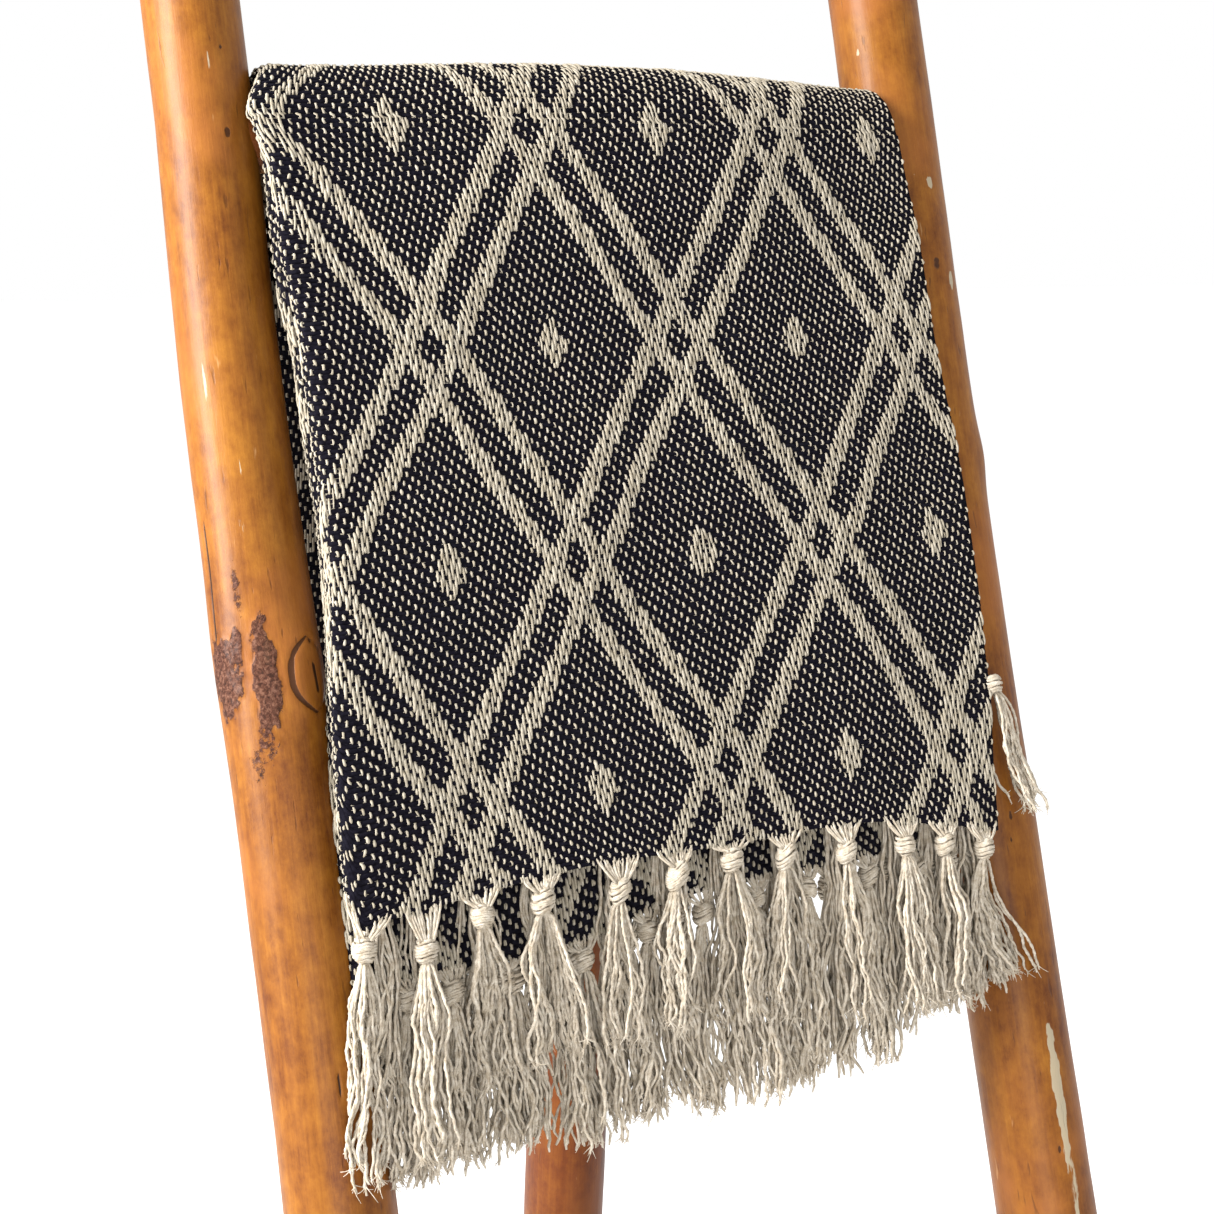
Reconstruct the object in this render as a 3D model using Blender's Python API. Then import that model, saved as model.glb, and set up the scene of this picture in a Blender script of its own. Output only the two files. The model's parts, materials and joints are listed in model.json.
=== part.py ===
"""A woven cotton throw with tasselled hems, folded over the top rung of a three-legged pole rack.

Metres, +Z up, floor at z = 0. X runs along the rungs and +Y points to the back of the rack.
Everything is built round the axis of the top rung, then set down on the origin as a whole.
"""

import math

import bmesh
import bpy
from mathutils import Matrix, Vector

GAP = 0.0003  # clearance that touching pieces keep
SHARP_EDGE = math.radians(40)
CUT_PAST = 0.060  # a cutter runs this far from its axis, clear of the piece it cuts

# Rack
LADDER_LEAN = math.radians(16.7)  # the stiles lean back from upright
LEG_LEAN = math.radians(5.2)  # the rear leg's foot stands behind the top rung
STILE_SPACING = 0.400  # between the stiles' axes
TOP_RUNG_UP = 1.340  # floor to the top rung's axis, measured along a stile
STILE_ABOVE = 0.200  # stile left above the top rung's axis
RUNG_PITCH = 0.320
RUNG_COUNT = 4
RUNG_RADIUS = 0.016
TENON_RADIUS = 0.010
TENON_PAST_AXIS = 0.0097  # the tenon ends this far beyond the stile's axis
PEG_RADIUS = 0.003
PEG_INSET = 0.007  # the peg's axis is this far inside the stile's axis
PEG_FRONT = 0.0140  # the peg ends this far in front of the stile's axis
PEG_PROUD = 0.0010  # and stands this far out of the stile's back
FOOT_RADIUS = {"left": 0.0258, "right": 0.0290}
TOP_RADIUS = {"left": 0.0231, "right": 0.0248}
POLE_SIDES = 20
POLE_RINGS = 15
CHAMFER = 0.003
ROD_SIDES = 24
TENON_SIDES = 16
PEG_SIDES = 12

# A branch isn't straight: its axis wanders this far, in waves of this length
STILE_SWAY_X = 0.0009
STILE_SWAY_Y = 0.0012
STILE_SWAY_LENGTH = 0.83
STILE_SWAY_START = {"left": 0.4, "right": 2.1}
STILE_SWAY_GROWN = 0.3  # it is straight at the foot, and wanders fully from this height up
LEG_SWAY = 0.0012
LEG_SWAY_LENGTH = 0.9

# Rear leg and its hinge on the top rung
LEG_X = 0.014  # the leg hangs a little right of the middle
LEG_FOOT_RADIUS = 0.0256
LEG_TOP_RADIUS = 0.0238
LEG_HEAD_RADIUS = 0.0248  # the rounded head, about the hinge axis
LEG_HEAD_TURNS = (20, 38, 54, 68, 80)  # degrees up the rounded head
LEG_HEAD_NARROWING = 0.22  # share of its width that the head loses at the top
LEG_BORE_RADIUS = 0.0165
LEG_FOLD = math.radians(14.5)  # from open to the leg's rest against the second rung
STOP_PEG_RADIUS = 0.0028
STOP_PEG_TIP = 0.0225  # from the hinge axis
STOP_PEG_ROOT = 0.0040
SLOT_HALF_WIDTH = 0.0033
SLOT_STEPS = 6
SLOT_PAST = 0.006  # the slot's cutter runs this far beyond the head
SLOT_INTO_BORE = 0.002

# Throw: eight layers of cloth, as one soft solid
THROW_LEFT = -0.1740
THROW_RIGHT = 0.1720
THROW_TOP_THICK = 0.0175
THROW_DROP_THICK = 0.0240
FRONT_DROP = 0.3690  # along the ladder, from the top rung's axis to the front hem
HEM_CORNER_SAG = 0.0110  # the hem's corners hang lower than its middle
REAR_HEM_BELOW = 0.0220  # the inner hem hangs lower than the outer one
BACK_DROP = 0.2900
CROWN_HALF = 0.034  # the leg's head lifts this much of the throw flat
CROWN_FADE = 0.110  # and the lift dies out over this distance
CROWN_FRONT_FADE = 0.100  # and over this distance down the front
LEG_HEAD_CLEAR = 0.0008  # between the leg's head and the throw over it
DROP_THICK_BY = 0.080  # the layers have their full thickness this far down
HEM_CORNER_X = 0.180
RIGHT_SWELL = 0.013  # how far the right edge swells out over the stile
RIGHT_SWELL_BY = 0.160
RIGHT_PULL = 0.007  # and pulls in again at the hem
RIGHT_PULL_FROM = 0.330
RIGHT_PULL_OVER = 0.040
LEFT_SWELL = 0.005
LEFT_SWELL_FROM = 0.200
LEFT_SWELL_OVER = 0.120
BACK_SLOPE_SIDES = 0.35  # slope of the back drop at its sides, as a share of the leg's
BACK_SLOPE_CROWN = 0.75  # and what the leg adds to it in the middle
BACK_ROUND_FROM = 0.95  # share of the back drop where its bottom starts to round
BACK_ROUND_CLOSE = 0.8
FRONT_STOPS = (1.0, 0.9, 0.75, 0.6, 0.45, 0.3, 0.2, 0.12, 0.05)  # shares of the front drop
BACK_STOPS = (0.1, 0.24, 0.41, 0.62, 0.83, 0.95, 0.99, 1.0)
ARC_STEPS = 8
THROW_SPANS = 10
EDGE_SPREAD = 0.9  # the flat part of the throw ends at this share of its half width
EDGE_TURNS = (80, 55, 28, 0)  # degrees round the half circle of each side edge

# Tassels
# Distances between the front hem's knots, from the left
TASSEL_GAPS = (0.027, 0.028, 0.030, 0.038, 0.032, 0.032, 0.032, 0.035, 0.034, 0.026, 0.026)
FIRST_TASSEL_X = -0.1715
TASSEL_LENGTH = 0.104
TASSEL_LEAN = math.radians(9)  # the bunch behind holds the tassels off the upright
TASSEL_SIDES = 8
TASSEL_TURN = math.radians(180 / TASSEL_SIDES)
TASSEL_DEPTH = 0.0058
FRONT_ROW_OUT = 0.0345  # in front of the ladder's plane
FRONT_ROW_BELOW = 0.0115  # below the hem's line
REAR_ROW_OUT = 0.0205
REAR_ROW_BELOW = 0.0262
# Distance below the hem's underside as a fraction of the length, and half width
TASSEL_PROFILE = (
    (0.00, 0.0035),
    (0.03, 0.0062),
    (0.09, 0.0070),
    (0.15, 0.0058),
    (0.22, 0.0062),
    (0.55, 0.0090),
    (0.92, 0.0102),
    (1.00, 0.0090),
)

WOOD = (0.62, 0.30, 0.09)
DARK_WOOD = (0.42, 0.17, 0.05)
PEG_WOOD = (0.50, 0.30, 0.14)
CLOTH = (0.10, 0.09, 0.10)
YARN = (0.58, 0.50, 0.38)

TOP_AXIS_Z = TOP_RUNG_UP * math.cos(LADDER_LEAN)
UP_LADDER = Vector((0, math.sin(LADDER_LEAN), math.cos(LADDER_LEAN)))
FRONT = Vector((0, -math.cos(LADDER_LEAN), math.sin(LADDER_LEAN)))  # out of the ladder's front
TOP_AXIS = Vector((0, 0, TOP_AXIS_Z))
STILE_X = {"left": -STILE_SPACING / 2, "right": STILE_SPACING / 2}


# ---------------------------------------------------------------- helpers


def clear_scene():
    for old in list(bpy.data.objects):
        bpy.data.objects.remove(old, do_unlink=True)


def material(name, color, roughness):
    made = bpy.data.materials.new(name)
    made.use_nodes = True
    shader = made.node_tree.nodes["Principled BSDF"]
    shader.inputs["Base Color"].default_value = (*color, 1)
    shader.inputs["Roughness"].default_value = roughness
    shader.inputs["Metallic"].default_value = 0.0
    return made


def new_object(name, mesh, place, finish=None, helper=False):
    made = bpy.data.objects.new(name, mesh)
    made.matrix_world = place
    bpy.context.collection.objects.link(made)
    if finish:
        mesh.materials.append(finish)
    if helper:
        made.hide_render = True
        made.display_type = "WIRE"
    return made


def skin(name, rings):
    """A closed mesh through rings of equal length, from the lowest ring to the highest."""
    bm = bmesh.new()
    loops = [[bm.verts.new(point) for point in ring] for ring in rings]
    count = len(loops[0])
    for low, high in zip(loops, loops[1:]):
        for i in range(count):
            j = (i + 1) % count
            bm.faces.new((low[i], low[j], high[j], high[i]))
    bm.faces.new(reversed(loops[0]))
    bm.faces.new(loops[-1])
    bmesh.ops.recalc_face_normals(bm, faces=bm.faces)
    mesh = bpy.data.meshes.new(name)
    bm.to_mesh(mesh)
    bm.free()
    mesh.shade_smooth()
    mesh.set_sharp_from_angle(angle=SHARP_EDGE)
    return mesh


def rod_mesh(name, radius, low, high, sides):
    """A cylinder along the local X axis, from low to high."""
    angles = [2 * math.pi * (i + 0.5) / sides for i in range(sides)]
    ring = [(radius * math.cos(a), radius * math.sin(a)) for a in angles]
    return skin(name, [[(x, y, z) for y, z in ring] for x in (low, high)])


def cut(target, cutter, operation="DIFFERENCE"):
    """Applies a Boolean at once, so that the cutter can be thrown away."""
    modifier = target.modifiers.new("cut", "BOOLEAN")
    modifier.operation = operation
    modifier.solver = "EXACT"
    modifier.object = cutter
    bpy.context.view_layer.update()
    graph = bpy.context.evaluated_depsgraph_get()
    result = bpy.data.meshes.new_from_object(target.evaluated_get(graph))
    target.modifiers.clear()
    target.data = result
    result.shade_smooth()
    result.set_sharp_from_angle(angle=SHARP_EDGE)
    bpy.data.objects.remove(cutter, do_unlink=True)


def smooth_step(value):
    value = min(max(value, 0.0), 1.0)
    return value * value * (3 - 2 * value)


def along_x(x, y, z):
    """A place on the local X axis's zero at this point, turned so that Z runs up the ladder."""
    return Matrix.Translation((x, y, z)) @ Matrix.Rotation(-LADDER_LEAN, 4, "X")


def rung_centre(number):
    return TOP_AXIS - UP_LADDER * RUNG_PITCH * (number - 1)


# ---------------------------------------------------------------- poles


def stile_radius(side, up):
    part = up / (TOP_RUNG_UP + STILE_ABOVE)
    return FOOT_RADIUS[side] + (TOP_RADIUS[side] - FOOT_RADIUS[side]) * part


def stile_sway(side, up):
    """How far the branch wanders from its straight axis: nothing at the foot, 1 mm or so above."""
    turn = 2 * math.pi * up / STILE_SWAY_LENGTH
    start = STILE_SWAY_START[side]
    grown = smooth_step(up / STILE_SWAY_GROWN)
    sway_x = STILE_SWAY_X * grown * math.sin(turn + start)
    sway_y = STILE_SWAY_Y * grown * math.sin(0.7 * turn + start)
    return sway_x, sway_y


def stile_mesh(side, extra=0.0):
    """A leaning pole in its own frame: Z along the pole, its foot cut level with the floor."""
    length = TOP_RUNG_UP + STILE_ABOVE
    stops = [length * i / (POLE_RINGS - 1) for i in range(POLE_RINGS)]
    stops[-1] = length - CHAMFER
    shape = [(up, stile_radius(side, up) + extra) for up in stops]
    shape.append((length, TOP_RADIUS[side] + extra - CHAMFER))
    rings = []
    for up, radius in shape:
        sway_x, sway_y = stile_sway(side, up)
        ring = []
        for i in range(POLE_SIDES):
            angle = 2 * math.pi * i / POLE_SIDES
            x = radius * math.cos(angle) + sway_x
            y = radius * math.sin(angle) + sway_y
            # The foot's cut is level, so across the leaning pole it runs at a slope.
            ring.append((x, y, y * math.tan(LADDER_LEAN) if up == 0 else up))
        rings.append(ring)
    return skin(f"{side}_stile", rings)


def foot_place(side):
    foot = TOP_AXIS - UP_LADDER * TOP_RUNG_UP
    return along_x(STILE_X[side], foot.y, foot.z)


def peg_place(side, number):
    """The peg's own X axis runs into the stile from behind, square to the ladder."""
    inward = 1 if side == "left" else -1
    centre = rung_centre(number) + Vector((STILE_X[side] + inward * PEG_INSET, 0, 0))
    return Matrix.Translation(centre) @ FRONT.to_track_quat("X", "Z").to_matrix().to_4x4()


def make_stile(side, finish):
    outward = -1 if side == "left" else 1
    stile = new_object(f"{side}_stile", stile_mesh(side), foot_place(side), finish)
    for number in range(1, RUNG_COUNT + 1):
        ends = sorted((-outward * CUT_PAST, outward * (TENON_PAST_AXIS + GAP)))
        socket = rod_mesh("socket", TENON_RADIUS + GAP, *ends, TENON_SIDES)
        centre = rung_centre(number)
        cut(stile, new_object("socket", socket, along_x(STILE_X[side], centre.y, centre.z), helper=True))
        hole = rod_mesh("hole", PEG_RADIUS + GAP, -CUT_PAST, PEG_FRONT + GAP, PEG_SIDES)
        cut(stile, new_object("hole", hole, peg_place(side, number), helper=True))
    return stile


def make_rung(number, finish):
    """A round bar, coped to the stiles, with a round tenon at each end."""
    centre = rung_centre(number)
    place = along_x(0, centre.y, centre.z)
    half = STILE_SPACING / 2
    bar = rod_mesh("rung", RUNG_RADIUS, -half, half, ROD_SIDES)
    rung = new_object(f"rung_{number}", bar, place, finish)
    for side in STILE_X:
        cut(rung, new_object("cope", stile_mesh(side, GAP), foot_place(side), helper=True))
    reach = half + TENON_PAST_AXIS
    tenon = rod_mesh("tenon", TENON_RADIUS, -reach, reach, TENON_SIDES)
    cut(rung, new_object("tenon", tenon, place, helper=True), "UNION")
    for side in STILE_X:
        hole = rod_mesh("hole", PEG_RADIUS + GAP, -CUT_PAST, CUT_PAST, PEG_SIDES)
        cut(rung, new_object("hole", hole, peg_place(side, number), helper=True))
    return rung


def make_peg(side, number, finish):
    up = TOP_RUNG_UP - RUNG_PITCH * (number - 1)
    back = stile_radius(side, up) + PEG_PROUD
    mesh = rod_mesh("peg", PEG_RADIUS, -back, PEG_FRONT, PEG_SIDES)
    return new_object(f"rung_{number}_{side}_peg", mesh, peg_place(side, number), finish)


# ---------------------------------------------------------------- rear leg


def make_rear_leg(finish):
    """Hangs on the top rung: its origin is on the hinge axis and its Z runs up the leg."""
    length = TOP_AXIS_Z / math.cos(LEG_LEAN)
    shape = []
    for i in range(POLE_RINGS):
        part = i / (POLE_RINGS - 1)
        radius = LEG_FOOT_RADIUS + (LEG_TOP_RADIUS - LEG_FOOT_RADIUS) * part
        shape.append((-length * (1 - part), radius, radius))
    for degrees in LEG_HEAD_TURNS:
        angle = math.radians(degrees)
        deep = min(LEG_HEAD_RADIUS * math.cos(angle), LEG_TOP_RADIUS)
        wide = LEG_TOP_RADIUS * (1 - LEG_HEAD_NARROWING * (degrees / LEG_HEAD_TURNS[-1]) ** 3)
        shape.append((LEG_HEAD_RADIUS * math.sin(angle), wide, deep))
    rings = []
    for up, wide, deep in shape:
        sway = LEG_SWAY * math.sin(2 * math.pi * up / LEG_SWAY_LENGTH) * smooth_step(1 + up / length)
        ring = []
        for i in range(POLE_SIDES):
            angle = 2 * math.pi * i / POLE_SIDES
            x = wide * math.cos(angle) + sway
            y = deep * math.sin(angle)
            ring.append((x, y, up - y * math.tan(LEG_LEAN) if up == -length else up))
        rings.append(ring)
    place = Matrix.Translation(TOP_AXIS + Vector((LEG_X, 0, 0))) @ Matrix.Rotation(LEG_LEAN, 4, "X")
    leg = new_object("rear_leg", skin("rear_leg", rings), place, finish)
    bore = rod_mesh("bore", LEG_BORE_RADIUS, -CUT_PAST, CUT_PAST, ROD_SIDES)
    cut(leg, new_object("bore", bore, place, helper=True))
    cut(leg, new_object("slot", slot_mesh(), place, helper=True))
    return leg


def slot_mesh():
    """The part of a ring that the stop peg sweeps, from open to folded, seen in the leg's frame."""
    clear = math.asin((STOP_PEG_RADIUS + GAP) / LEG_BORE_RADIUS)
    inner = LEG_BORE_RADIUS - SLOT_INTO_BORE
    outer = LEG_HEAD_RADIUS + SLOT_PAST
    # In the leg's frame the peg starts straight up and moves towards the front as the leg folds.
    angles = [clear - (LEG_FOLD + 2 * clear) * i / SLOT_STEPS for i in range(SLOT_STEPS + 1)]
    outline = [(inner * math.sin(a), inner * math.cos(a)) for a in angles]
    outline += [(outer * math.sin(a), outer * math.cos(a)) for a in reversed(angles)]
    rings = [[(x, y, z) for y, z in outline] for x in (-SLOT_HALF_WIDTH, SLOT_HALF_WIDTH)]
    return skin("slot", rings)


def stop_peg_place():
    """The peg's own X axis points up the open leg, out of the rung."""
    up_leg = Vector((0, -math.sin(LEG_LEAN), math.cos(LEG_LEAN)))
    turn = up_leg.to_track_quat("X", "Z").to_matrix().to_4x4()
    return Matrix.Translation(TOP_AXIS + Vector((LEG_X, 0, 0))) @ turn


def make_stop_peg(rung, finish):
    hole = rod_mesh("hole", STOP_PEG_RADIUS + GAP, STOP_PEG_ROOT - GAP, CUT_PAST, PEG_SIDES)
    cut(rung, new_object("hole", hole, stop_peg_place(), helper=True))
    mesh = rod_mesh("stop_peg", STOP_PEG_RADIUS, STOP_PEG_ROOT, STOP_PEG_TIP, PEG_SIDES)
    return new_object("leg_stop_peg", mesh, stop_peg_place(), finish)


# ---------------------------------------------------------------- throw


def crown(x):
    """1 over the leg's head, falling to 0 either side of it."""
    return 1 - smooth_step((abs(x - LEG_X) - CROWN_HALF) / CROWN_FADE)


def inner_radius(x):
    low = RUNG_RADIUS + GAP
    high = LEG_HEAD_RADIUS + LEG_HEAD_CLEAR
    return low + (high - low) * crown(x)


def layers_thick(drop):
    """The layers are pressed thin over the rung and fill out below it."""
    grown = smooth_step(drop / DROP_THICK_BY)
    return THROW_TOP_THICK + (THROW_DROP_THICK - THROW_TOP_THICK) * grown


def hem_sag(x):
    return HEM_CORNER_SAG * (abs(x) / HEM_CORNER_X) ** 3


def right_edge(drop):
    """The right edge swells out over the front of the stile, then pulls in at the hem."""
    swell = RIGHT_SWELL * smooth_step(drop / RIGHT_SWELL_BY)
    pull = RIGHT_PULL * smooth_step((drop - RIGHT_PULL_FROM) / RIGHT_PULL_OVER)
    return THROW_RIGHT + swell - pull


def left_edge(drop):
    return THROW_LEFT - LEFT_SWELL * smooth_step((drop - LEFT_SWELL_FROM) / LEFT_SWELL_OVER)


def throw_section(x):
    """The throw's inner and outer line at one place across it, as (drop, inner, outer) points.

    The points run from the front hem up the front, over the rung and down the back. drop is the
    distance down the front, which the side edges depend on.
    """
    radius = inner_radius(x)
    rest = RUNG_RADIUS + GAP
    hem = FRONT_DROP + hem_sag(x)
    points = []
    for part in FRONT_STOPS:
        drop = hem * part
        inside = rest + (radius - rest) * (1 - smooth_step(drop / CROWN_FRONT_FADE))
        thick = layers_thick(drop)
        below = REAR_HEM_BELOW if part == 1.0 else 0.0
        inner = FRONT * inside - UP_LADDER * (drop + below)
        outer = FRONT * (inside + thick) - UP_LADDER * drop
        points.append((drop, inner, outer))
    for i in range(ARC_STEPS + 1):
        angle = LADDER_LEAN + (math.pi - LADDER_LEAN) * i / ARC_STEPS
        way = Vector((0, -math.cos(angle), math.sin(angle)))
        points.append((0.0, way * radius, way * (radius + THROW_TOP_THICK)))
    # The back hangs clear at the sides, and lies along the rear leg in the middle.
    slope = math.tan(LEG_LEAN) * (BACK_SLOPE_SIDES + BACK_SLOPE_CROWN * crown(x))
    for part in BACK_STOPS:
        depth = BACK_DROP * part
        inside = radius + depth * slope
        inner = Vector((0, inside, -depth))
        outer = Vector((0, inside + layers_thick(depth), -depth))
        # The cloth turns back on itself at the bottom, so the solid closes there in a round.
        into_round = max(part - BACK_ROUND_FROM, 0.0) / (1 - BACK_ROUND_FROM)
        close = BACK_ROUND_CLOSE * (1 - math.sqrt(max(1 - into_round**2, 0.0)))
        middle = (inner + outer) / 2
        points.append((0.0, inner.lerp(middle, close), outer.lerp(middle, close)))
    return points


def make_throw(finish):
    half_thick = THROW_DROP_THICK / 2
    # Each station is a place between the edges, and how far the round of the edge has turned.
    stations = [(-1.0, math.radians(turn)) for turn in EDGE_TURNS]
    stations += [(EDGE_SPREAD * (2 * i / THROW_SPANS - 1), 0.0) for i in range(THROW_SPANS + 1)]
    stations += [(1.0, math.radians(turn)) for turn in reversed(EDGE_TURNS)]
    rings = []
    for spread, turn in stations:
        middle = (THROW_LEFT + THROW_RIGHT) / 2 + spread * (THROW_RIGHT - THROW_LEFT) / 2
        inner_line = []
        outer_line = []
        for drop, inner, outer in throw_section(middle):
            left = left_edge(drop) + half_thick
            right = right_edge(drop) - half_thick
            x = (left + right + spread * (right - left)) / 2 + spread * half_thick * math.sin(turn)
            centre = (inner + outer) / 2
            across = Vector((x, 0, 0))
            inner_line.append(across + inner.lerp(centre, 1 - math.cos(turn)))
            outer_line.append(across + outer.lerp(centre, 1 - math.cos(turn)))
        rings.append(inner_line + outer_line[::-1])
    return new_object("throw", skin("throw", rings), Matrix.Translation(TOP_AXIS), finish)


# ---------------------------------------------------------------- tassels


def tassel_mesh():
    rings = []
    for part, wide in reversed(TASSEL_PROFILE):
        deep = min(wide, TASSEL_DEPTH)
        ring = []
        for i in range(TASSEL_SIDES):
            angle = 2 * math.pi * i / TASSEL_SIDES + TASSEL_TURN
            ring.append((wide * math.cos(angle), deep * math.sin(angle), -TASSEL_LENGTH * part))
        rings.append(ring)
    return skin("tassel", rings)


def front_tassel_places():
    x = FIRST_TASSEL_X
    places = [x]
    for gap in TASSEL_GAPS:
        x += gap
        places.append(x)
    return places


def make_tassel_row(name, places, front, below, mesh, finish):
    """Hangs a row of tassels from under one of the hems."""
    for number, x in enumerate(places, 1):
        drop = FRONT_DROP + hem_sag(x) + below
        top = TOP_AXIS + FRONT * front - UP_LADDER * drop + Vector((x, 0, 0))
        place = Matrix.Translation(top) @ Matrix.Rotation(-TASSEL_LEAN, 4, "X")
        new_object(f"{name}_{number:02d}", mesh, place, finish)


# ---------------------------------------------------------------- assembly


def stand_on_origin():
    """Hangs everything on one empty, and moves it so that the origin is under the middle."""
    solids = [piece for piece in bpy.data.objects if not piece.hide_render]
    bpy.context.view_layer.update()
    corners = [piece.matrix_world @ vertex.co for piece in solids for vertex in piece.data.vertices]
    low = [min(corner[axis] for corner in corners) for axis in range(3)]
    high = [max(corner[axis] for corner in corners) for axis in range(3)]
    root = bpy.data.objects.new("rack_origin", None)
    bpy.context.collection.objects.link(root)
    for piece in solids:
        piece.parent = root
    root.location = (-(low[0] + high[0]) / 2, -(low[1] + high[1]) / 2, -low[2])
    bpy.context.view_layer.update()


def main():
    clear_scene()
    wood = material("stile_wood", WOOD, 0.35)
    leg_wood = material("leg_wood", DARK_WOOD, 0.35)
    rung_wood = material("rung_wood", DARK_WOOD, 0.45)
    peg_wood = material("peg_wood", PEG_WOOD, 0.60)
    cloth = material("throw_cloth", CLOTH, 0.95)
    yarn = material("tassel_yarn", YARN, 0.95)

    for side in STILE_X:
        make_stile(side, wood)
    rungs = [make_rung(number, rung_wood) for number in range(1, RUNG_COUNT + 1)]
    for number in range(1, RUNG_COUNT + 1):
        for side in STILE_X:
            make_peg(side, number, peg_wood)
    make_rear_leg(leg_wood)
    make_stop_peg(rungs[0], peg_wood)

    make_throw(cloth)
    tassel = tassel_mesh()
    front_places = front_tassel_places()
    rear_places = [(a + b) / 2 for a, b in zip(front_places, front_places[1:])]
    make_tassel_row("front_tassel", front_places, FRONT_ROW_OUT, FRONT_ROW_BELOW, tassel, yarn)
    make_tassel_row("rear_tassel", rear_places, REAR_ROW_OUT, REAR_ROW_BELOW, tassel, yarn)
    stand_on_origin()


main()
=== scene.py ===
import json
import math

import bpy
import numpy as np
from mathutils import Matrix, Vector


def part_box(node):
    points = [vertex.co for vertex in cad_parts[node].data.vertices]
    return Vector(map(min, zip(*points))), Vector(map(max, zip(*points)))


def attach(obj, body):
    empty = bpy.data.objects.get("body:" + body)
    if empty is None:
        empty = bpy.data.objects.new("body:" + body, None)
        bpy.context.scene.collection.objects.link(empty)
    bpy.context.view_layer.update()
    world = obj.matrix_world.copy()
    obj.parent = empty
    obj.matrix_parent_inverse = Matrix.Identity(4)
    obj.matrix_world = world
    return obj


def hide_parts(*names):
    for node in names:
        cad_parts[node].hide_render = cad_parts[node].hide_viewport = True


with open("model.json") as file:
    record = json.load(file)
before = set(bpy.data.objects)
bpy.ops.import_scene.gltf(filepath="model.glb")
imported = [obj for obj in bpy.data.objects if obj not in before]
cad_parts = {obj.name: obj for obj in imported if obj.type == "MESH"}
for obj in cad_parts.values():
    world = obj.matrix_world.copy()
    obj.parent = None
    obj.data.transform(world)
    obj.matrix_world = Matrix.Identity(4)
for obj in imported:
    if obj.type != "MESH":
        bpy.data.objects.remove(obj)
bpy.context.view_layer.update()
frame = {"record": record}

# ---------------------------------------------------------------- frame

LEAN = math.radians(16.7)  # the stiles lean back
LEG_LEAN = math.radians(5.2)  # and the rear leg forward
SIDE = np.array([1.0, 0.0, 0.0])
UP = np.array([0.0, math.sin(LEAN), math.cos(LEAN)])  # up along a stile
FRONT = np.array([0.0, -math.cos(LEAN), math.sin(LEAN)])  # out of the stiles' front
AXIS = np.array(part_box("rung_1")).sum(0) / 2  # the middle of the top rung
MOUNTS = {mount["name"]: mount["pos_m"] for mount in frame["record"]["mounts"]}
TURN = 2 * math.pi

# ---------------------------------------------------------------- camera

# solved from the photograph
CAMERA_FROM_RUNG = (-0.42365, -0.87661, -0.04914)
CAMERA_YAW = math.radians(26.634)
CAMERA_PITCH = math.radians(11.422)
CAMERA_LENS = 53.38
SENSOR_WIDTH = 36.0


def add_object(name, data):
    made = bpy.data.objects.new(name, data)
    bpy.context.collection.objects.link(made)
    return made


def make_camera():
    data = bpy.data.cameras.new("camera")
    data.sensor_width = SENSOR_WIDTH
    data.lens = CAMERA_LENS
    data.clip_end = 60.0
    made = add_object("camera", data)
    made.location = AXIS + np.array(CAMERA_FROM_RUNG)
    made.rotation_euler = (math.pi / 2 - CAMERA_PITCH, 0.0, -CAMERA_YAW)
    bpy.context.scene.camera = made


make_camera()

# ---------------------------------------------------------------- mesh tools


def smooth(value):
    """0 up to 0, 1 from 1 on, and a smooth step between them."""
    value = np.clip(value, 0.0, 1.0)
    return value * value * (3 - 2 * value)


def hump(value, power=2):
    """1 at 0, and near 0 from about 2 on."""
    return np.exp(-(value**power))


def mesh_object(name, finishes, points, quads, rings=(), uv=None):
    """A mesh from arrays: quads has rows of four points, rings longer rows of equal length."""
    points = np.asarray(points, np.float32).reshape(-1, 3)
    groups = [np.asarray(rows, np.int32) for rows in (quads, rings) if len(rows)]
    loops = np.concatenate([rows.reshape(-1) for rows in groups])
    totals = [np.full(rows.size // rows.shape[-1], rows.shape[-1], np.int32) for rows in groups]
    totals = np.concatenate(totals)
    mesh = bpy.data.meshes.new(name)
    mesh.vertices.add(len(points))
    mesh.vertices.foreach_set("co", points.reshape(-1))
    mesh.loops.add(len(loops))
    mesh.loops.foreach_set("vertex_index", loops)
    mesh.polygons.add(len(totals))
    mesh.polygons.foreach_set("loop_start", (np.cumsum(totals) - totals).astype(np.int32))
    mesh.polygons.foreach_set("loop_total", totals)
    if uv is not None:
        layer = mesh.uv_layers.new(name="cloth")
        layer.data.foreach_set("uv", np.asarray(uv, np.float32)[loops].reshape(-1))
    mesh.update(calc_edges=True)
    mesh.validate(clean_customdata=False)
    mesh.shade_smooth()
    for finish in finishes:
        mesh.materials.append(finish)
    return add_object(name, mesh)


def tube_faces(count, rings, sides):
    """Side quads and end faces of a row of tubes whose points run tube, ring, side."""
    tube = np.arange(count)[:, None, None] * rings * sides
    ring = np.arange(rings - 1)[None, :, None] * sides
    side = np.arange(sides)[None, None, :]
    a = tube + ring + side
    b = tube + ring + (side + 1) % sides
    quads = np.stack([a, b, b + sides, a + sides], -1).reshape(-1, 4)
    first = tube[:, 0, :] + np.arange(sides)[None, ::-1]
    last = tube[:, 0, :] + (rings - 1) * sides + np.arange(sides)[None, :]
    return quads, np.concatenate([first, last])


def unit(vectors):
    return vectors / np.maximum(np.linalg.norm(vectors, axis=-1, keepdims=True), 1e-9)


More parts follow.
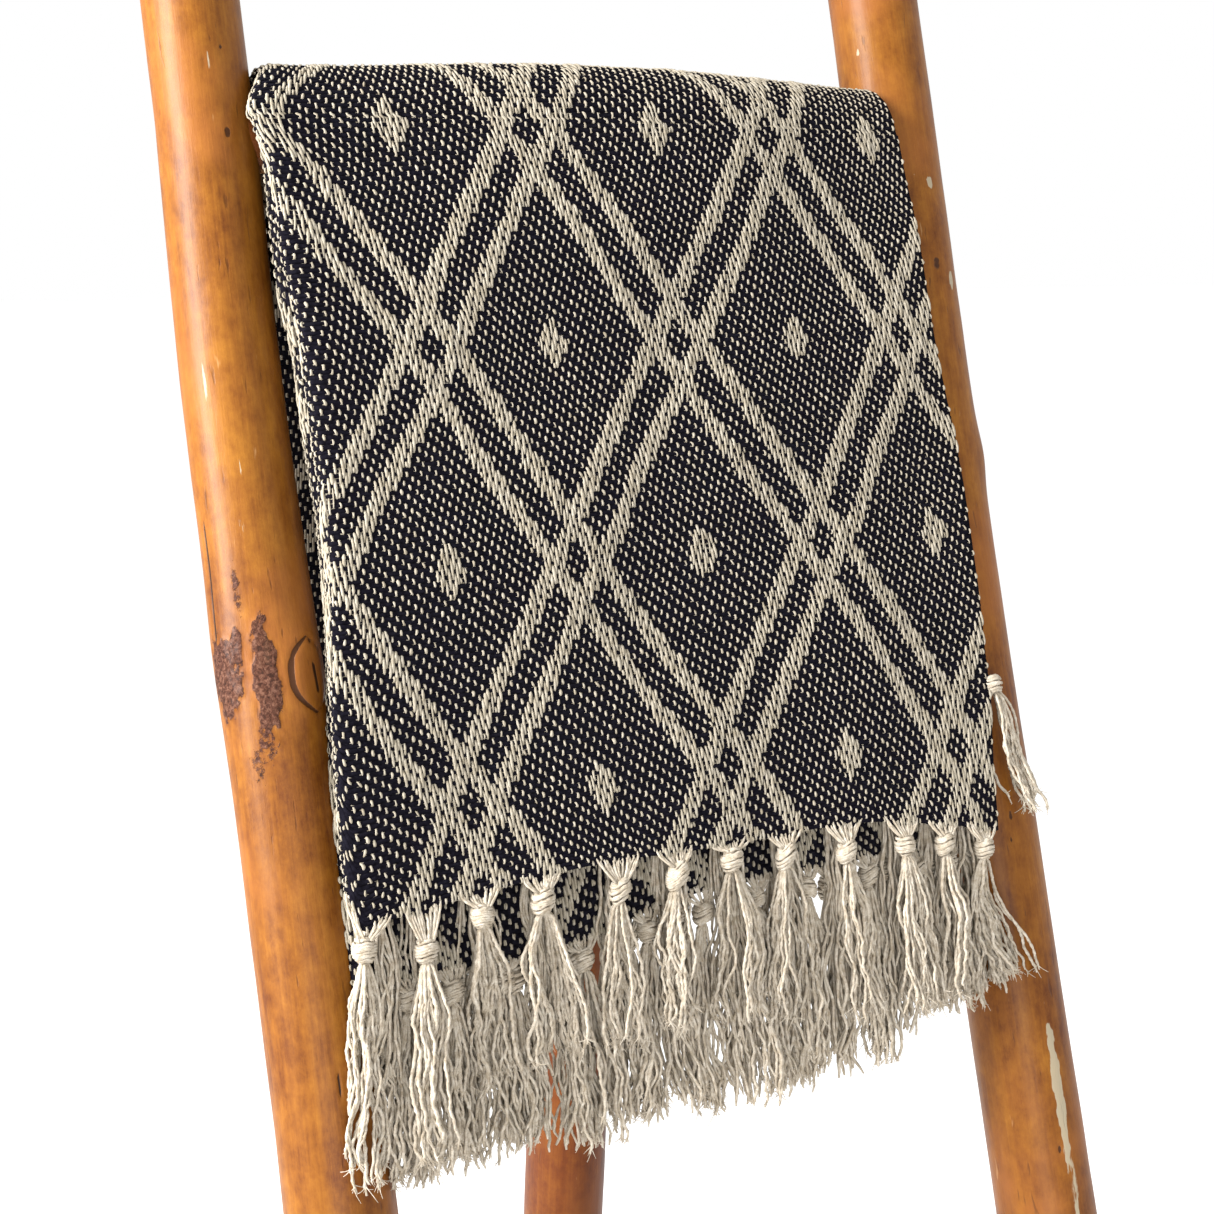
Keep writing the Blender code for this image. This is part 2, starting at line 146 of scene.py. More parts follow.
def yarns(paths, across, width, height, sides, twist, lobe):
    """Two-ply yarns as (points, side quads, end faces). paths is (yarn, ring, 3).

    The section is a flattened round with two lobes, which turn by twist radians along the path.
    width, the half size along across, and height are for each ring.
    """
    along = unit(np.gradient(paths, axis=1))
    across = unit(across - (across * along).sum(-1, keepdims=True) * along)
    out = np.cross(along, across)
    angle = np.arange(sides) * 2 * math.pi / sides
    lobes = 1 + lobe * np.cos(2 * (angle - twist[..., None]))
    a = (np.cos(angle) * lobes * width[..., None])[..., None] * across[:, :, None, :]
    b = (np.sin(angle) * lobes * height[..., None])[..., None] * out[:, :, None, :]
    points = paths[:, :, None, :] + a + b
    return (points, *tube_faces(*points.shape[:3]))


def yarn_object(name, finish, parts):
    """One object of several (points, side quads, end faces), relative to the top rung's axis."""
    base = 0
    joined = [], [], []
    for points, quads, ends in parts:
        joined[0].append(points.reshape(-1, 3))
        joined[1].append(quads + base)
        joined[2].append(ends + base)
        base += len(joined[0][-1])
    points, quads, ends = map(np.concatenate, joined)
    return mesh_object(name, [finish], points + AXIS, quads, ends)


# ---------------------------------------------------------------- materials


def feed(socket, value):
    """Links a node's input to a Sum or a socket, or gives it its constant."""
    if isinstance(value, Sum):
        value = value.socket
    if isinstance(value, bpy.types.NodeSocket):
        Sum.tree.links.new(value, socket)
    elif socket.type == "RGBA":
        socket.default_value = (*value, 1)
    else:
        socket.default_value = value


def add_node(kind, inputs, **settings):
    """A node in the present material, with its inputs by name or number."""
    node = Sum.tree.nodes.new("ShaderNode" + kind)
    for name, value in settings.items():
        setattr(node, name, value)
    for key, value in inputs.items():
        feed(node.inputs[key], value)
    return node


def operation(kind, swapped=False):
    """A method of Sum that adds one Math node."""

    def method(self, other=0.0):
        inputs = {int(swapped): self, int(not swapped): other}
        return Sum(add_node("Math", inputs, operation=kind).outputs[0])

    return method


class Sum:
    """Builds Math nodes from plain arithmetic on sockets and numbers."""

    tree = None  # the present material's nodes and links

    def __init__(self, socket):
        self.socket = socket

    __add__ = __radd__ = operation("ADD")
    __mul__ = __rmul__ = operation("MULTIPLY")
    __sub__ = operation("SUBTRACT")
    __rsub__ = operation("SUBTRACT", swapped=True)
    __pow__ = operation("POWER")
    __abs__ = operation("ABSOLUTE")
    above = operation("GREATER_THAN")
    below = operation("LESS_THAN")
    either = operation("MAXIMUM")
    both = operation("MINIMUM")
    floor = operation("FLOOR")
    repeat = operation("FLOORED_MODULO")
    turn_from = operation("ARCTAN2")
    fold = operation("PINGPONG")

    def near(self):
        """Distance to the nearest whole number."""
        return self.fold(0.5)

    def step(self, low, high):
        """A smooth step from 0 at low to 1 at high."""
        inputs = {"From Min": low, "From Max": high, "Value": self}
        return Sum(add_node("MapRange", inputs, interpolation_type="SMOOTHSTEP").outputs[0])


def new_material(name, roughness, specular, coat=0.0, coat_roughness=0.1):
    made = bpy.data.materials.new(name)
    made.use_nodes = True
    Sum.tree = made.node_tree
    shader = made.node_tree.nodes["Principled BSDF"]
    shader.inputs["Roughness"].default_value = roughness
    shader.inputs["Specular IOR Level"].default_value = specular
    shader.inputs["Coat Weight"].default_value = coat
    shader.inputs["Coat Roughness"].default_value = coat_roughness
    return made, shader.inputs


def coordinates(kind):
    return add_node("TexCoord", {}).outputs[kind]


def split(kind):
    """X, Y and Z of one kind of coordinates."""
    return [Sum(output) for output in add_node("SeparateXYZ", {0: coordinates(kind)}).outputs]


def place(along=1):
    """Object coordinates, with Z scaled by along to draw a pattern out along a pole."""
    inputs = {"Vector": coordinates("Object"), "Scale": (1, 1, along)}
    return add_node("Mapping", inputs).outputs["Vector"]


def noise(where, scale, detail=3.0, rough=0.55, distortion=0.0):
    inputs = {"Vector": where, "Scale": scale, "Detail": detail}
    inputs |= {"Roughness": rough, "Distortion": distortion}
    return Sum(add_node("TexNoise", inputs).outputs["Fac"])


def ramp(value, *stops):
    node = add_node("ValToRGB", {"Fac": value})
    points = node.color_ramp.elements
    while len(points) < len(stops):
        points.new(0.5)
    for point, (position, color) in zip(points, stops):
        point.position = position
        point.color = (*color, 1)
    return node.outputs["Color"]


def mix(amount, a, b):
    """Colour a where amount is 0, and colour b where it is 1."""
    return add_node("Mix", {0: amount, 6: a, 7: b}, data_type="RGBA").outputs[2]


def bump(shader, height, distance, strength):
    inputs = {"Height": height, "Distance": distance, "Strength": strength}
    feed(shader["Normal"], add_node("Bump", inputs).outputs["Normal"])


# ---------------------------------------------------------------- weave

END = 0.0015  # distance between warp yarns
PICK = 0.0023  # distance between weft yarns
TRELLIS_X = 0.1365  # the trellis repeats after this much width
TRELLIS_Y = 0.2165  # and after this much length
LINE_FROM = 0.0575  # each trellis line is two bands, from here to here, as shares of the repeat
LINE_TO = 0.1310
DIAMOND = 0.063  # half size of the small diamonds, as a share of the repeat
CROSSING_U = 1.2115  # a crossing of the trellis lies here on the flat cloth
CROSSING_V = 0.3645
SATIN = 5  # the weave repeats after this many yarns

CREAM_DARK = (0.228, 0.193, 0.138)
CREAM = (0.315, 0.278, 0.215)
CREAM_LIGHT = (0.378, 0.342, 0.280)
INK = (0.0027, 0.0022, 0.0034)
INK_MIDDLE = (0.0051, 0.0046, 0.0077)
INK_LIGHT = (0.0090, 0.0083, 0.0130)
TASSEL_COLORS = (0.272, 0.222, 0.158), (0.405, 0.350, 0.275), (0.545, 0.497, 0.420)


def cloth_material(name, right_side):
    """The weave itself: a five-end satin, warp up in the trellis and weft up elsewhere."""
    made, shader = new_material(name, 1.0, 0.03)
    u, v, _ = split("UV")
    end = u * (1 / END)
    pick = v * (1 / PICK)
    i = end.floor()
    j = pick.floor()
    x = (i + (0.5 - CROSSING_U / END)) * (END / TRELLIS_X)
    y = (j + (0.5 - CROSSING_V / PICK)) * (PICK / TRELLIS_Y)
    one = (x + y).near()
    two = (x - y).near()
    lines = one.above(LINE_FROM).both(one.below(LINE_TO))
    lines = lines.either(two.above(LINE_FROM).both(two.below(LINE_TO)))
    small = one.above(0.5 - DIAMOND).both(two.above(0.5 - DIAMOND))
    trellis = lines.either(small)
    turn = (i * 2 - j + 0.5).repeat(float(SATIN))
    single = turn.below(1.0)
    weft_tie = turn.above(2.0).both(turn.below(3.0))
    warp_up = trellis * (1 - weft_tie) + (1 - trellis) * single
    if not right_side:
        warp_up = 1 - warp_up
    across = (end - i - 0.5) * 2
    along = (pick - j - 0.5) * 2
    warp_round = 1 - across * across
    weft_round = 1 - along * along
    rise = warp_up * (0.55 + warp_round * 0.45) + (1 - warp_up) * weft_round * 0.5
    shade = noise(place(), 520.0, 2.0)
    cream = ramp(shade, (0.3, CREAM_DARK), (0.5, CREAM), (0.72, CREAM_LIGHT))
    ink = ramp(shade, (0.35, INK), (0.7, INK_LIGHT))
    gap = warp_round.step(0.0, 0.5)
    feed(shader["Base Color"], mix(warp_up, ink, mix(gap, INK, cream)))
    bump(shader, rise + shade * 0.3, 0.0006, 0.8)
    return made


def yarn_material(name, colors, scale, specular):
    made, shader = new_material(name, 0.95, specular)
    where = place()
    broad = noise(where, scale, 2.0)
    fine = noise(where, scale * 7, 2.0)
    color = ramp(broad * 0.6 + fine * 0.4, *zip((0.34, 0.5, 0.66), colors))
    feed(shader["Base Color"], color)
    bump(shader, fine, 0.0002, 0.6)
    return made


# ---------------------------------------------------------------- the folded sheet

PANEL = 0.36  # width of each of the four panels that the cloth is folded in
FLAT_WIDTH = 4 * PANEL
FLAT_LENGTH = 1.50
FRONT_HEM = 0.3695  # from the rung's axis down the front to the outer hem
INNER_HEM = 0.3880  # and to the inner hem
ARC_OUTER = 0.0950  # length of cloth over the rung
BACK_DROP = 0.2750  # how far the fold at the back hangs below the rung's axis
RUNG_RADIUS = 0.0163
HEAD_RADIUS = 0.0252  # of the rear leg's head, which the cloth goes over too
LEG_X = 0.014
TOP_THICK = 0.0175  # all eight layers over the rung
DROP_THICK = 0.0240  # and where they hang
SHEET_THICK = 0.0011
REACH = 0.0008  # half the distance that a direction on the cloth is measured over

# the front knots, by distance to the right of the rack's middle
KNOT_PLACES = (
    -0.180, -0.151, -0.122, -0.091, -0.0505, -0.019, 0.0126, 0.0442, 0.0798, 0.1155, 0.140, 0.165,
)
KNOT_DROPS = (
    0.387, 0.392, 0.381, 0.379, 0.3805, 0.378, 0.375, 0.378, 0.381, 0.383, 0.386, 0.392,
)
TASSEL_LENGTHS = (
    0.104, 0.098, 0.080, 0.079, 0.077, 0.073, 0.078, 0.081, 0.085, 0.084, 0.078, 0.073,
)

# the folded cloth's left and right edges, by drop below the rung's axis
EDGES = np.array([
    (0.0, -0.1794, 0.1770), (0.029, -0.1794, 0.1768), (0.068, -0.1788, 0.1790),
    (0.085, -0.1765, 0.1801), (0.101, -0.1740, 0.1812), (0.143, -0.1734, 0.1831),
    (0.172, -0.1726, 0.1849), (0.208, -0.1740, 0.1862), (0.263, -0.1791, 0.1883),
    (0.305, -0.1808, 0.1870), (0.340, -0.1808, 0.1812), (0.372, -0.1810, 0.1775),
])

# each panel: where it starts on the cloth, its height in layers, and which way it runs.
# From the outside in they are the fourth, the first, the second and the third.
PANELS = ((0.0, 2.5, -1), (0.36, 1.5, 1), (0.72, 0.5, -1), (1.08, 3.5, 1))
# each fold: where it is, the length of cloth in half of it, its centre height and radius in
# layers, which way it turns, and the side it is on
FOLDS = (
    (0.36, 0.0041, 2.0, 0.5, -1, -1),
    (0.72, 0.0026, 1.0, 0.5, -1, 1),
    (1.08, 0.0124, 2.0, 1.5, 1, -1),
)
LEFT_PUFF = 0.0068  # how far a fold one layer high stands out
RIGHT_PUFF = 0.0036


def crown(x):
    """How much the cloth at x lies over the rear leg's head rather than the bare rung."""
    return 1 - smooth((np.abs(x - LEG_X) - 0.020) / 0.17)


def ripple(x, s, turn=0.0):
    """Gentle unevenness of hanging cloth, in metres."""
    a = np.sin(31 * x + 17 * s + turn) * np.sin(11 * x - 26 * s + 1.3 + 2 * turn)
    b = np.sin(57 * x - 23 * s + 2.1 + turn) * np.sin(19 * x + 43 * s + 0.4)
    return 0.0016 * (0.6 * a + 0.4 * b) * smooth(s / 0.10)


def fold_line(u):
    """Across the folded cloth: share of the width, height in layers, and reach.

    reach is how far the point stands out past its fold's centre, in metres.
    """
    share, height, reach = np.zeros((3, *u.shape))
    ends = (0.0, *(fold[0] for fold in FOLDS), FLAT_WIDTH)
    spare = (0.0, *(fold[1] for fold in FOLDS), 0.0)
    for n, (start, level, way) in enumerate(PANELS):
        inside = (u >= start - 1e-9) & (u <= ends[n + 1] + 1e-9)
        low = start + spare[n]
        high = ends[n + 1] - spare[n + 1]
        part = np.clip((u[inside] - low) / (high - low), 0, 1)
        share[inside] = part if way > 0 else 1 - part
        height[inside] = level
    for past, panel in ((u < 0, 0), (u > FLAT_WIDTH, 3)):
        share[past] = 1.0
        height[past] = PANELS[panel][1]
    for at, half, centre, radius, way, side in FOLDS:
        inside = np.abs(u - at) < half
        turn = (u[inside] - at) / half * math.pi / 2
        height[inside] = centre + way * radius * np.sin(turn)
        puff = LEFT_PUFF if side < 0 else RIGHT_PUFF
        reach[inside] = side * radius * np.cos(turn) * puff
    return share, height, reach


def across_fold(share, height, reach, drop, depth, turned, outer):
    """Distance to the right of the middle. depth is how far down the back, turned how far over."""
    on_front = drop > 0
    level = np.where(on_front, np.where(outer, drop, drop * 0.9), 0)
    left = np.interp(level, EDGES[:, 0], EDGES[:, 1])
    right = np.interp(level, EDGES[:, 0], EDGES[:, 2])
    # the outer layers make a round lobe where they turn over the rung beside the left stile
    lobe = np.where(on_front, hump(drop / 0.016), 1 - smooth(turned / 0.42))
    left = left - np.where(outer, 0.0068 * lobe, 0) + 0.0060 * smooth(turned / 0.40)
    on_back = smooth(depth / BACK_DROP / 0.2)
    left = left + on_back * (-0.176 - left)
    right = right + on_back * (0.180 - right)
    left = left + 0.0010 * np.sin(23 * drop + 31 * depth + height)
    right = right + 0.0012 * np.sin(37 * drop + 29 * depth + 2 * height)
    puff = 1 + 0.14 * np.sin(19 * drop + 1.0)
    tuck = np.where(np.abs(height - 2) < 0.75, 0.0010, 0.0)
    start = left + 1.5 * LEFT_PUFF * puff
    # plain is a panel with straight edges, and the real edges only pull on the cloth near them
    low, high = -0.1700, 0.1860
    plain = low + share * (high - low) - 0.012 * (drop - 0.11) * on_front
    x = plain + (start - low) * (1 - share) ** 5 + (right - high) * share**5
    x = x + tuck * (1 - 2 * share)
    # the outer panel hangs a little askew
    askew = 0.0024 * hump(np.hypot((share - 0.15) / 0.12, (drop - 0.11) / 0.06))
    askew = askew - 0.0028 * hump((share - 0.45) / 0.20) * smooth(drop / 0.2)
    x = x + askew * (height > 3)
    return x + reach * puff - 0.004 * (np.abs(height - 1.0) < 0.6) * share**8


def hung_drop(x, height, drop, outer):
    """The drop with the hem's own shape: low corners, knots that draw it down, hidden layers."""
    right = x > 0
    corner = np.where(outer, np.where(right, 0.0180, 0.0110), np.where(right, 0.0050, 0.0115))
    bulge = 0.0085 * (smooth(-x / 0.09) + hump((x + 0.075) / 0.055))
    sag = corner * (np.abs(x) / 0.18) ** 3 + np.where(outer, 0, bulge)
    # the outer bundle's hidden panels end a little higher than the panel that covers them
    sag = sag - 0.0180 * outer * (1 - smooth((height - 2.6) / 0.8))
    drop = drop + sag * smooth((drop - 0.25) / 0.13)
    # the knots draw the hem down, so it rises between them
    away = np.min(np.abs(x[..., None] - np.array(KNOT_PLACES)), axis=-1)
    return drop - 0.0026 * smooth(away / 0.013) * smooth((drop - 0.352) / 0.02) * outer


def surface(u, v):
    """Where a point of the flat cloth lies on the rack, relative to the top rung's axis."""
    u, v = np.broadcast_arrays(u, v)
    u, v = (
        u + 0.0006 * np.sin(57 * v + 23 * u + 1.7 * np.sin(31 * u)),
        v + 0.0009 * np.sin(43 * u + 19 * v + 2.0 * np.sin(37 * v)),
    )
    share, height, reach = fold_line(u)
    outer = v <= FLAT_LENGTH / 2
    v = np.where(outer, v, FLAT_LENGTH - v)
    hem = np.where(outer, FRONT_HEM, INNER_HEM)
    arc = FRONT_HEM + ARC_OUTER - hem
    # the fold at the back takes more cloth in the layers that go round the others
    turn_half = math.pi / 2 * height * DROP_THICK / 8
    back_end = FLAT_LENGTH / 2 - turn_half
    turn = np.clip((v - back_end) / turn_half, 0, 1) * math.pi / 2
    back_part = np.clip((v - hem - arc) / (back_end - hem - arc), 0, 1)
    turned = np.clip((v - hem) / arc, 0, 1)
    drop = np.clip(hem - v, 0, None)
    depth = BACK_DROP * back_part
    x = across_fold(share, height, reach, drop, depth, turned, outer)
    drop = hung_drop(x, height, drop, outer)
    # stack counts layers from the rung outwards
    layers = height * np.cos(turn)
    stack = np.where(outer, 4 + layers, 4 - layers) / 8
    top_thick = TOP_THICK + 0.0012 - 0.0026 * crown(x)
    spread = DROP_THICK - top_thick
    over_head = (HEAD_RADIUS - RUNG_RADIUS) * crown(x)
    # down the front
    inside = RUNG_RADIUS + over_head * (1 - smooth(drop / 0.10))
    thick = top_thick + spread * smooth(drop / 0.08)
    out = inside + thick * stack + ripple(x, drop) * stack
    front = out[..., None] * FRONT - drop[..., None] * UP
    # over the rung
    angle = LEAN + (math.pi - LEAN) * turned
    way = np.stack([np.zeros_like(angle), -np.cos(angle), np.sin(angle)], -1)
    radius = RUNG_RADIUS + over_head
    over = (radius + top_thick * stack)[..., None] * way
    # and down the back, against the rear leg
    slope = math.tan(LEG_LEAN) * (0.35 + 0.75 * crown(x))
    thick = top_thick + spread * smooth(depth / 0.08)
    out = radius + depth * slope + thick * stack + ripple(x, depth, 2.0) * stack
    fall = height * DROP_THICK / 8 * np.sin(turn)
    below = depth + fall + 0.0030 * np.sin(21 * x + 0.7) * smooth(depth / 0.2)
    back = np.stack([np.zeros_like(depth), out, -below], -1)
    on_back = (back_part > 0)[..., None]
    spot = np.where((drop > 0)[..., None], front, np.where(on_back, back, over))
    spot[..., 0] = x
    return spot


def along_u(u, v):
    return surface(u + REACH, v) - surface(u - REACH, v)


def along_v(u, v):
    return surface(u, v + REACH) - surface(u, v - REACH)


def surface_normal(u, v):
    """The side of the cloth that faces out where the panel is outermost."""
    return unit(np.cross(along_u(u, v), along_v(u, v)))


def make_sheet():
    """The one sheet through all its folds, with closer points at the folds."""
    folds = [fold[0] + np.linspace(-0.008, 0.008, 17) for fold in FOLDS]
    us = np.concatenate([np.linspace(0, FLAT_WIDTH, 281), *folds])
    spans = ((0, FLAT_LENGTH, 261), (0.738, 0.762, 17), (0.36, 0.47, 25), (1.03, 1.14, 25))
    vs = np.concatenate([np.linspace(*span) for span in spans])
    uu, vv = np.meshgrid(np.unique(np.round(us, 5)), np.unique(np.round(vs, 5)))
    index = np.arange(uu.size).reshape(uu.shape)
    quads = np.stack([index[:-1, :-1], index[:-1, 1:], index[1:, 1:], index[1:, :-1]], -1)
    finishes = cloth_material("cloth_right_side", True), cloth_material("cloth_wrong_side", False)
    uv = np.stack([uu, vv], -1).reshape(-1, 2)
    made = mesh_object("throw_cloth", finishes, surface(uu, vv) + AXIS, quads, uv=uv)
    thicken = made.modifiers.new("thickness", "SOLIDIFY")
    thicken.thickness = SHEET_THICK
    thicken.offset = 0.0
    thicken.material_offset = 1
    return made


def warp_up(i, j):
    """Whether warp yarn i lies over weft yarn j, on the cloth's right side."""
    x = ((i + 0.5) * END - CROSSING_U) / TRELLIS_X
    y = ((j + 0.5) * PICK - CROSSING_V) / TRELLIS_Y
    one, two = (np.abs(z - np.round(z)) for z in (x + y, x - y))
    lines = ((one > LINE_FROM) & (one < LINE_TO)) | ((two > LINE_FROM) & (two < LINE_TO))
    trellis = lines | ((one > 0.5 - DIAMOND) & (two > 0.5 - DIAMOND))
    turn = (2 * i - j) % SATIN
    return np.where(trellis, turn != 2, turn == 0)


WARP_TWIST = 0.0052  # the warp's two plies turn once in this length
# short floats over one weft yarn, and long ones: rings, how far they dip past it as a share of the
# distance between picks, and half width
SHORT_FLOAT = (6, 0.12, 0.00059)
LONG_FLOAT = (10, 0.22, 0.00072)


def make_floats(name, u_range, v_range, seed):
    """The warp yarns where they lie over the weft, each as its own short length of yarn."""
    draw = np.random.RandomState(seed)
    ends = np.arange(*(round(at / END) for at in u_range))
    picks = np.arange(*(round(at / PICK) for at in v_range))
    up = warp_up(ends[:, None], picks[None, :]).astype(np.int8)
    change = np.diff(np.pad(up, ((0, 0), (1, 1))), axis=1)
    first_end, first_pick = np.nonzero(change == 1)
    last_pick = np.nonzero(change == -1)[1]
    u = (ends[first_end] + 0.5) * END
    start = (picks[0] + first_pick) * PICK
    stop = (picks[0] + last_pick) * PICK
    short = stop - start < 1.5 * PICK
    parts = []
    for chosen, (rings, past, half_width) in ((short, SHORT_FLOAT), (~short, LONG_FLOAT)):
        count = int(chosen.sum())
        if not count:
            continue
        part = np.linspace(0, 1, rings)[None, :]
        arch = np.sin(math.pi * part)
        low = (start[chosen] - past * PICK)[:, None]
        high = (stop[chosen] + past * PICK)[:, None]
        v = low + (high - low) * part + 0.00022 * draw.randn(count, 1)
        slant = 0.00022 + 0.00022 * draw.randn(count, 1)
        bow = 0.00016 * draw.randn(count, 1)
        shift = 0.00014 * draw.randn(count, 1)
        across = u[chosen][:, None] + shift - slant * (2 * part - 1) + bow * arch
        crest = 0.00080 + 0.00013 * draw.randn(count, 1) + 0.00012 * ((high - low) / 0.01)
        lift = 0.00030 + crest * arch**0.45
        centre = surface(across, v) + surface_normal(across, v) * lift[..., None]
        width = (half_width + 0.00010 * draw.randn(count, 1)) * (0.55 + 0.45 * arch**0.5)
        spin = draw.rand(count, 1) * math.pi + (v - low) * (TURN / WARP_TWIST)
        parts.append(yarns(centre, along_u(across, v), width, width * 0.72, 6, spin, 0.16))
    return yarn_object(name, WARP_YARN, parts)


def make_weft(name, u_range, v_range, seed):
    """The weft yarns of one outer stretch, as ridges with closer points at the left fold."""
    draw = np.random.RandomState(seed)
    picks = np.arange(*(round(at / PICK) for at in v_range))[:, None]
    bend = u_range[0] + 0.030
    u = np.append(np.linspace(u_range[0], bend, 22)[:-1], np.linspace(bend, u_range[1], 112))
    wander = 0.000017 * np.cumsum(draw.randn(len(picks), len(u)), axis=1)
    v = (picks + 0.5) * PICK + wander - wander.mean(1, keepdims=True)
    u = np.broadcast_to(u, v.shape)
    beat = 0.00040 + 0.00010 * np.sin(u * TURN / 0.0075 + picks * 2.5)
    centre = surface(u, v) + surface_normal(u, v) * beat[..., None]
    width = np.full(v.shape, PICK * 0.47)
    tall = 0.00055 + 0.00004 * draw.randn(*v.shape)
    runs = yarns(centre, along_v(u, v), width, tall, 6, u * 300.0, 0.06)
    return yarn_object(name, WEFT_YARN, [runs])


# ---------------------------------------------------------------- tassels

YARN_RADIUS = 0.00082
YARN_TWIST = 0.0070  # a tassel yarn's two plies turn once in this length
LOCKS = 5  # the yarns of a tassel hang in this many loose locks
WOUND_RADIUS = 0.00078  # of the yarn that a knot is wound from
HAIR_RADIUS = 0.00030


def hanging_yarns(draw, knot, down, length, count, rings, sides, spread, curl):
    """The yarns below one knot: they leave it in loose locks, wander, and end unevenly."""
    part = np.linspace(0, 1, rings)[None, :]
    lock = draw.randint(0, LOCKS, count)
    turn = (draw.rand(LOCKS) * TURN)[lock] + 0.55 * draw.randn(count)
    away = (0.35 + 0.65 * np.sqrt(draw.rand(LOCKS)))[lock] * (0.65 + 0.5 * draw.rand(count))
    s = part * (length * (0.84 + 0.17 * draw.rand(count)))[:, None]
    opening = smooth(s / 0.030) * 0.66 + 0.34 * s / length
    leave = smooth(s / 0.006)
    grown = smooth(s / 0.030) * (0.5 + 0.5 * part)
    # how far each point is to the side of the knot, and out in front of it
    x = (away * np.cos(turn))[:, None] * (0.0036 * leave + spread * opening)
    out = (away * np.sin(turn))[:, None] * (0.0030 * leave + 0.6 * spread * opening)

    def add_wave(phase, size, x_length, out_length):
        nonlocal x, out
        x = x + size[:, :1] * grown * np.sin(TURN * s / x_length + phase[:, :1])
        out = out + 0.7 * size[:, 1:] * grown * np.sin(TURN * s / out_length + phase[:, 1:])

    phase = draw.rand(LOCKS, 2)[lock] * TURN
    add_wave(phase, 0.0031 * (0.3 + draw.rand(LOCKS, 2)[lock]), 0.062, 0.055)
    for size, wave in ((0.0013, 0.027), (0.00040, 0.0095)):
        phase = draw.rand(count, 2) * TURN
        add_wave(phase, size * (0.3 + 1.1 * draw.rand(count, 2)), wave, wave)
    x = x + curl * smooth((s - 0.015) / 0.07) * (0.6 + 0.8 * draw.rand(count, 1))
    outward = unit(np.cross(SIDE, down))
    path = knot + down * 0.0030 + x[..., None] * SIDE + out[..., None] * outward
    path = path + s[..., None] * down
    taper = 1 - 0.45 * smooth((part - 0.95) / 0.05)
    width = YARN_RADIUS * (0.85 + 0.28 * draw.rand(count, 1)) * taper
    spin = draw.rand(count, 1) * math.pi + s * (TURN / YARN_TWIST)
    return yarns(path, SIDE, width, width, sides, spin, 0.30)


def frayed_ends(draw, points, hairs):
    """Fine fibres that flare from each yarn's cut end."""
    tube = points.mean(2)
    way = np.repeat(unit(tube[:, -1] - tube[:, -5]), hairs, axis=0)[:, None]
    start = np.repeat(tube[:, -2], hairs, axis=0)[:, None] - way * 0.002
    count = len(way)
    part = np.linspace(0, 1, 5)[None, :, None]
    toward = unit(way + 0.32 * draw.randn(count, 1, 3))
    bend = 0.0020 * draw.randn(count, 1, 3)
    long_ = 0.0022 + 0.0030 * draw.rand(count, 1, 1)
    path = start + toward * long_ * part + bend * part**2
    width = HAIR_RADIUS * (1 - 0.6 * part[..., 0])
    return yarns(path, np.array([1.0, 0.2, 0.1]), width, width, points.shape[2], width * 0, 0.0)


def knot_yarns(draw, knot, down, size, loops, sides):
    """Turns of yarn wound on the slant round a knot's core, and the core itself."""
    out = unit(np.cross(SIDE, down))
    angle = np.linspace(0, TURN, 22)[None, :] + draw.rand(loops, 1) * 0.6
    level = np.linspace(-1, 1, loops)[:, None] + 0.12 * draw.randn(loops, 1)
    tilt = 0.26 + 0.22 * draw.randn() + 0.07 * draw.randn(loops, 1)
    belly = np.sqrt(np.maximum(1 - (level * 0.80) ** 2, 0.1))
    x = size * 0.96 * belly * np.cos(angle)
    y = size * 0.88 * belly * np.sin(angle)
    z = level * size * 0.88 + tilt * x + 0.0003 * np.sin(3 * angle)
    path = knot + x[..., None] * SIDE + y[..., None] * out - z[..., None] * down
    width = np.full(x.shape, WOUND_RADIUS)
    wound = yarns(path, -down, width, width, sides, angle * 3.4 + draw.rand(loops, 1) * 3, 0.28)
    # the core is one more, fat, tube along the tassel
    part = np.linspace(-1, 1, 9)[None, :]
    path = knot - (part * size * 0.92)[..., None] * down
    width = size * 0.93 * np.sqrt(np.maximum(1 - (part * 0.93) ** 2, 0.02))
    return [wound, yarns(path, SIDE, width, width * 0.85, sides, part * 0, 0.0)]


def fan_yarns(draw, u, v_edge, half_pitch, knot, down, size, count, sides, inward):
    """The warp ends between the cloth's last pick and the knot that gathers them."""
    across = u + np.linspace(-half_pitch, half_pitch, count) * (0.85 + 0.3 * draw.rand())
    across = across + 0.0009 * draw.randn(count)
    v = v_edge[0] + (v_edge[1] - v_edge[0]) * draw.rand(count)
    normal = surface_normal(across, v) * (-1 if inward else 1)
    start = surface(across, v) + normal * 0.0004
    leave = surface(across, v_edge[0]) + normal * 0.0012
    share = np.linspace(-1, 1, count)[:, None]
    if start[0, 0] > start[-1, 0]:
        share = -share
    out = unit(np.cross(SIDE, down))
    meet = knot - down * size * 0.75 + share * size * 0.55 * SIDE
    meet = meet - (0.0010 + 0.0022 * draw.rand(count, 1)) * out
    leave = leave + 0.001 * down + 0.0012 * draw.randn(count, 1) * SIDE
    # each yarn is a curve of the second degree from start to meet
    part = np.linspace(0, 1, 8)[None, :, None]
    start, leave, meet = start[:, None], leave[:, None], meet[:, None]
    path = start * (1 - part) ** 2 + 2 * leave * part * (1 - part) + meet * part**2
    part = part[..., 0]
    width = YARN_RADIUS * (0.62 + 0.20 * smooth(part / 0.3))
    spin = part * 9.0 + draw.rand(count, 1) * 3
    return yarns(path, SIDE, width, width * 0.9, sides, spin, 0.25)


# how far a tassel behind the front row hangs below its knot, by its place
HIDDEN_PLACES = (-0.18, -0.12, -0.05, 0.0, 0.09, 0.13, 0.17)
HIDDEN_LENGTHS = (0.088, 0.080, 0.088, 0.097, 0.098, 0.078, 0.068)
# knot size, fall and reach of the knots that lie behind the outermost panel
BEHIND = (0.0040, 0.0050, -0.0025)


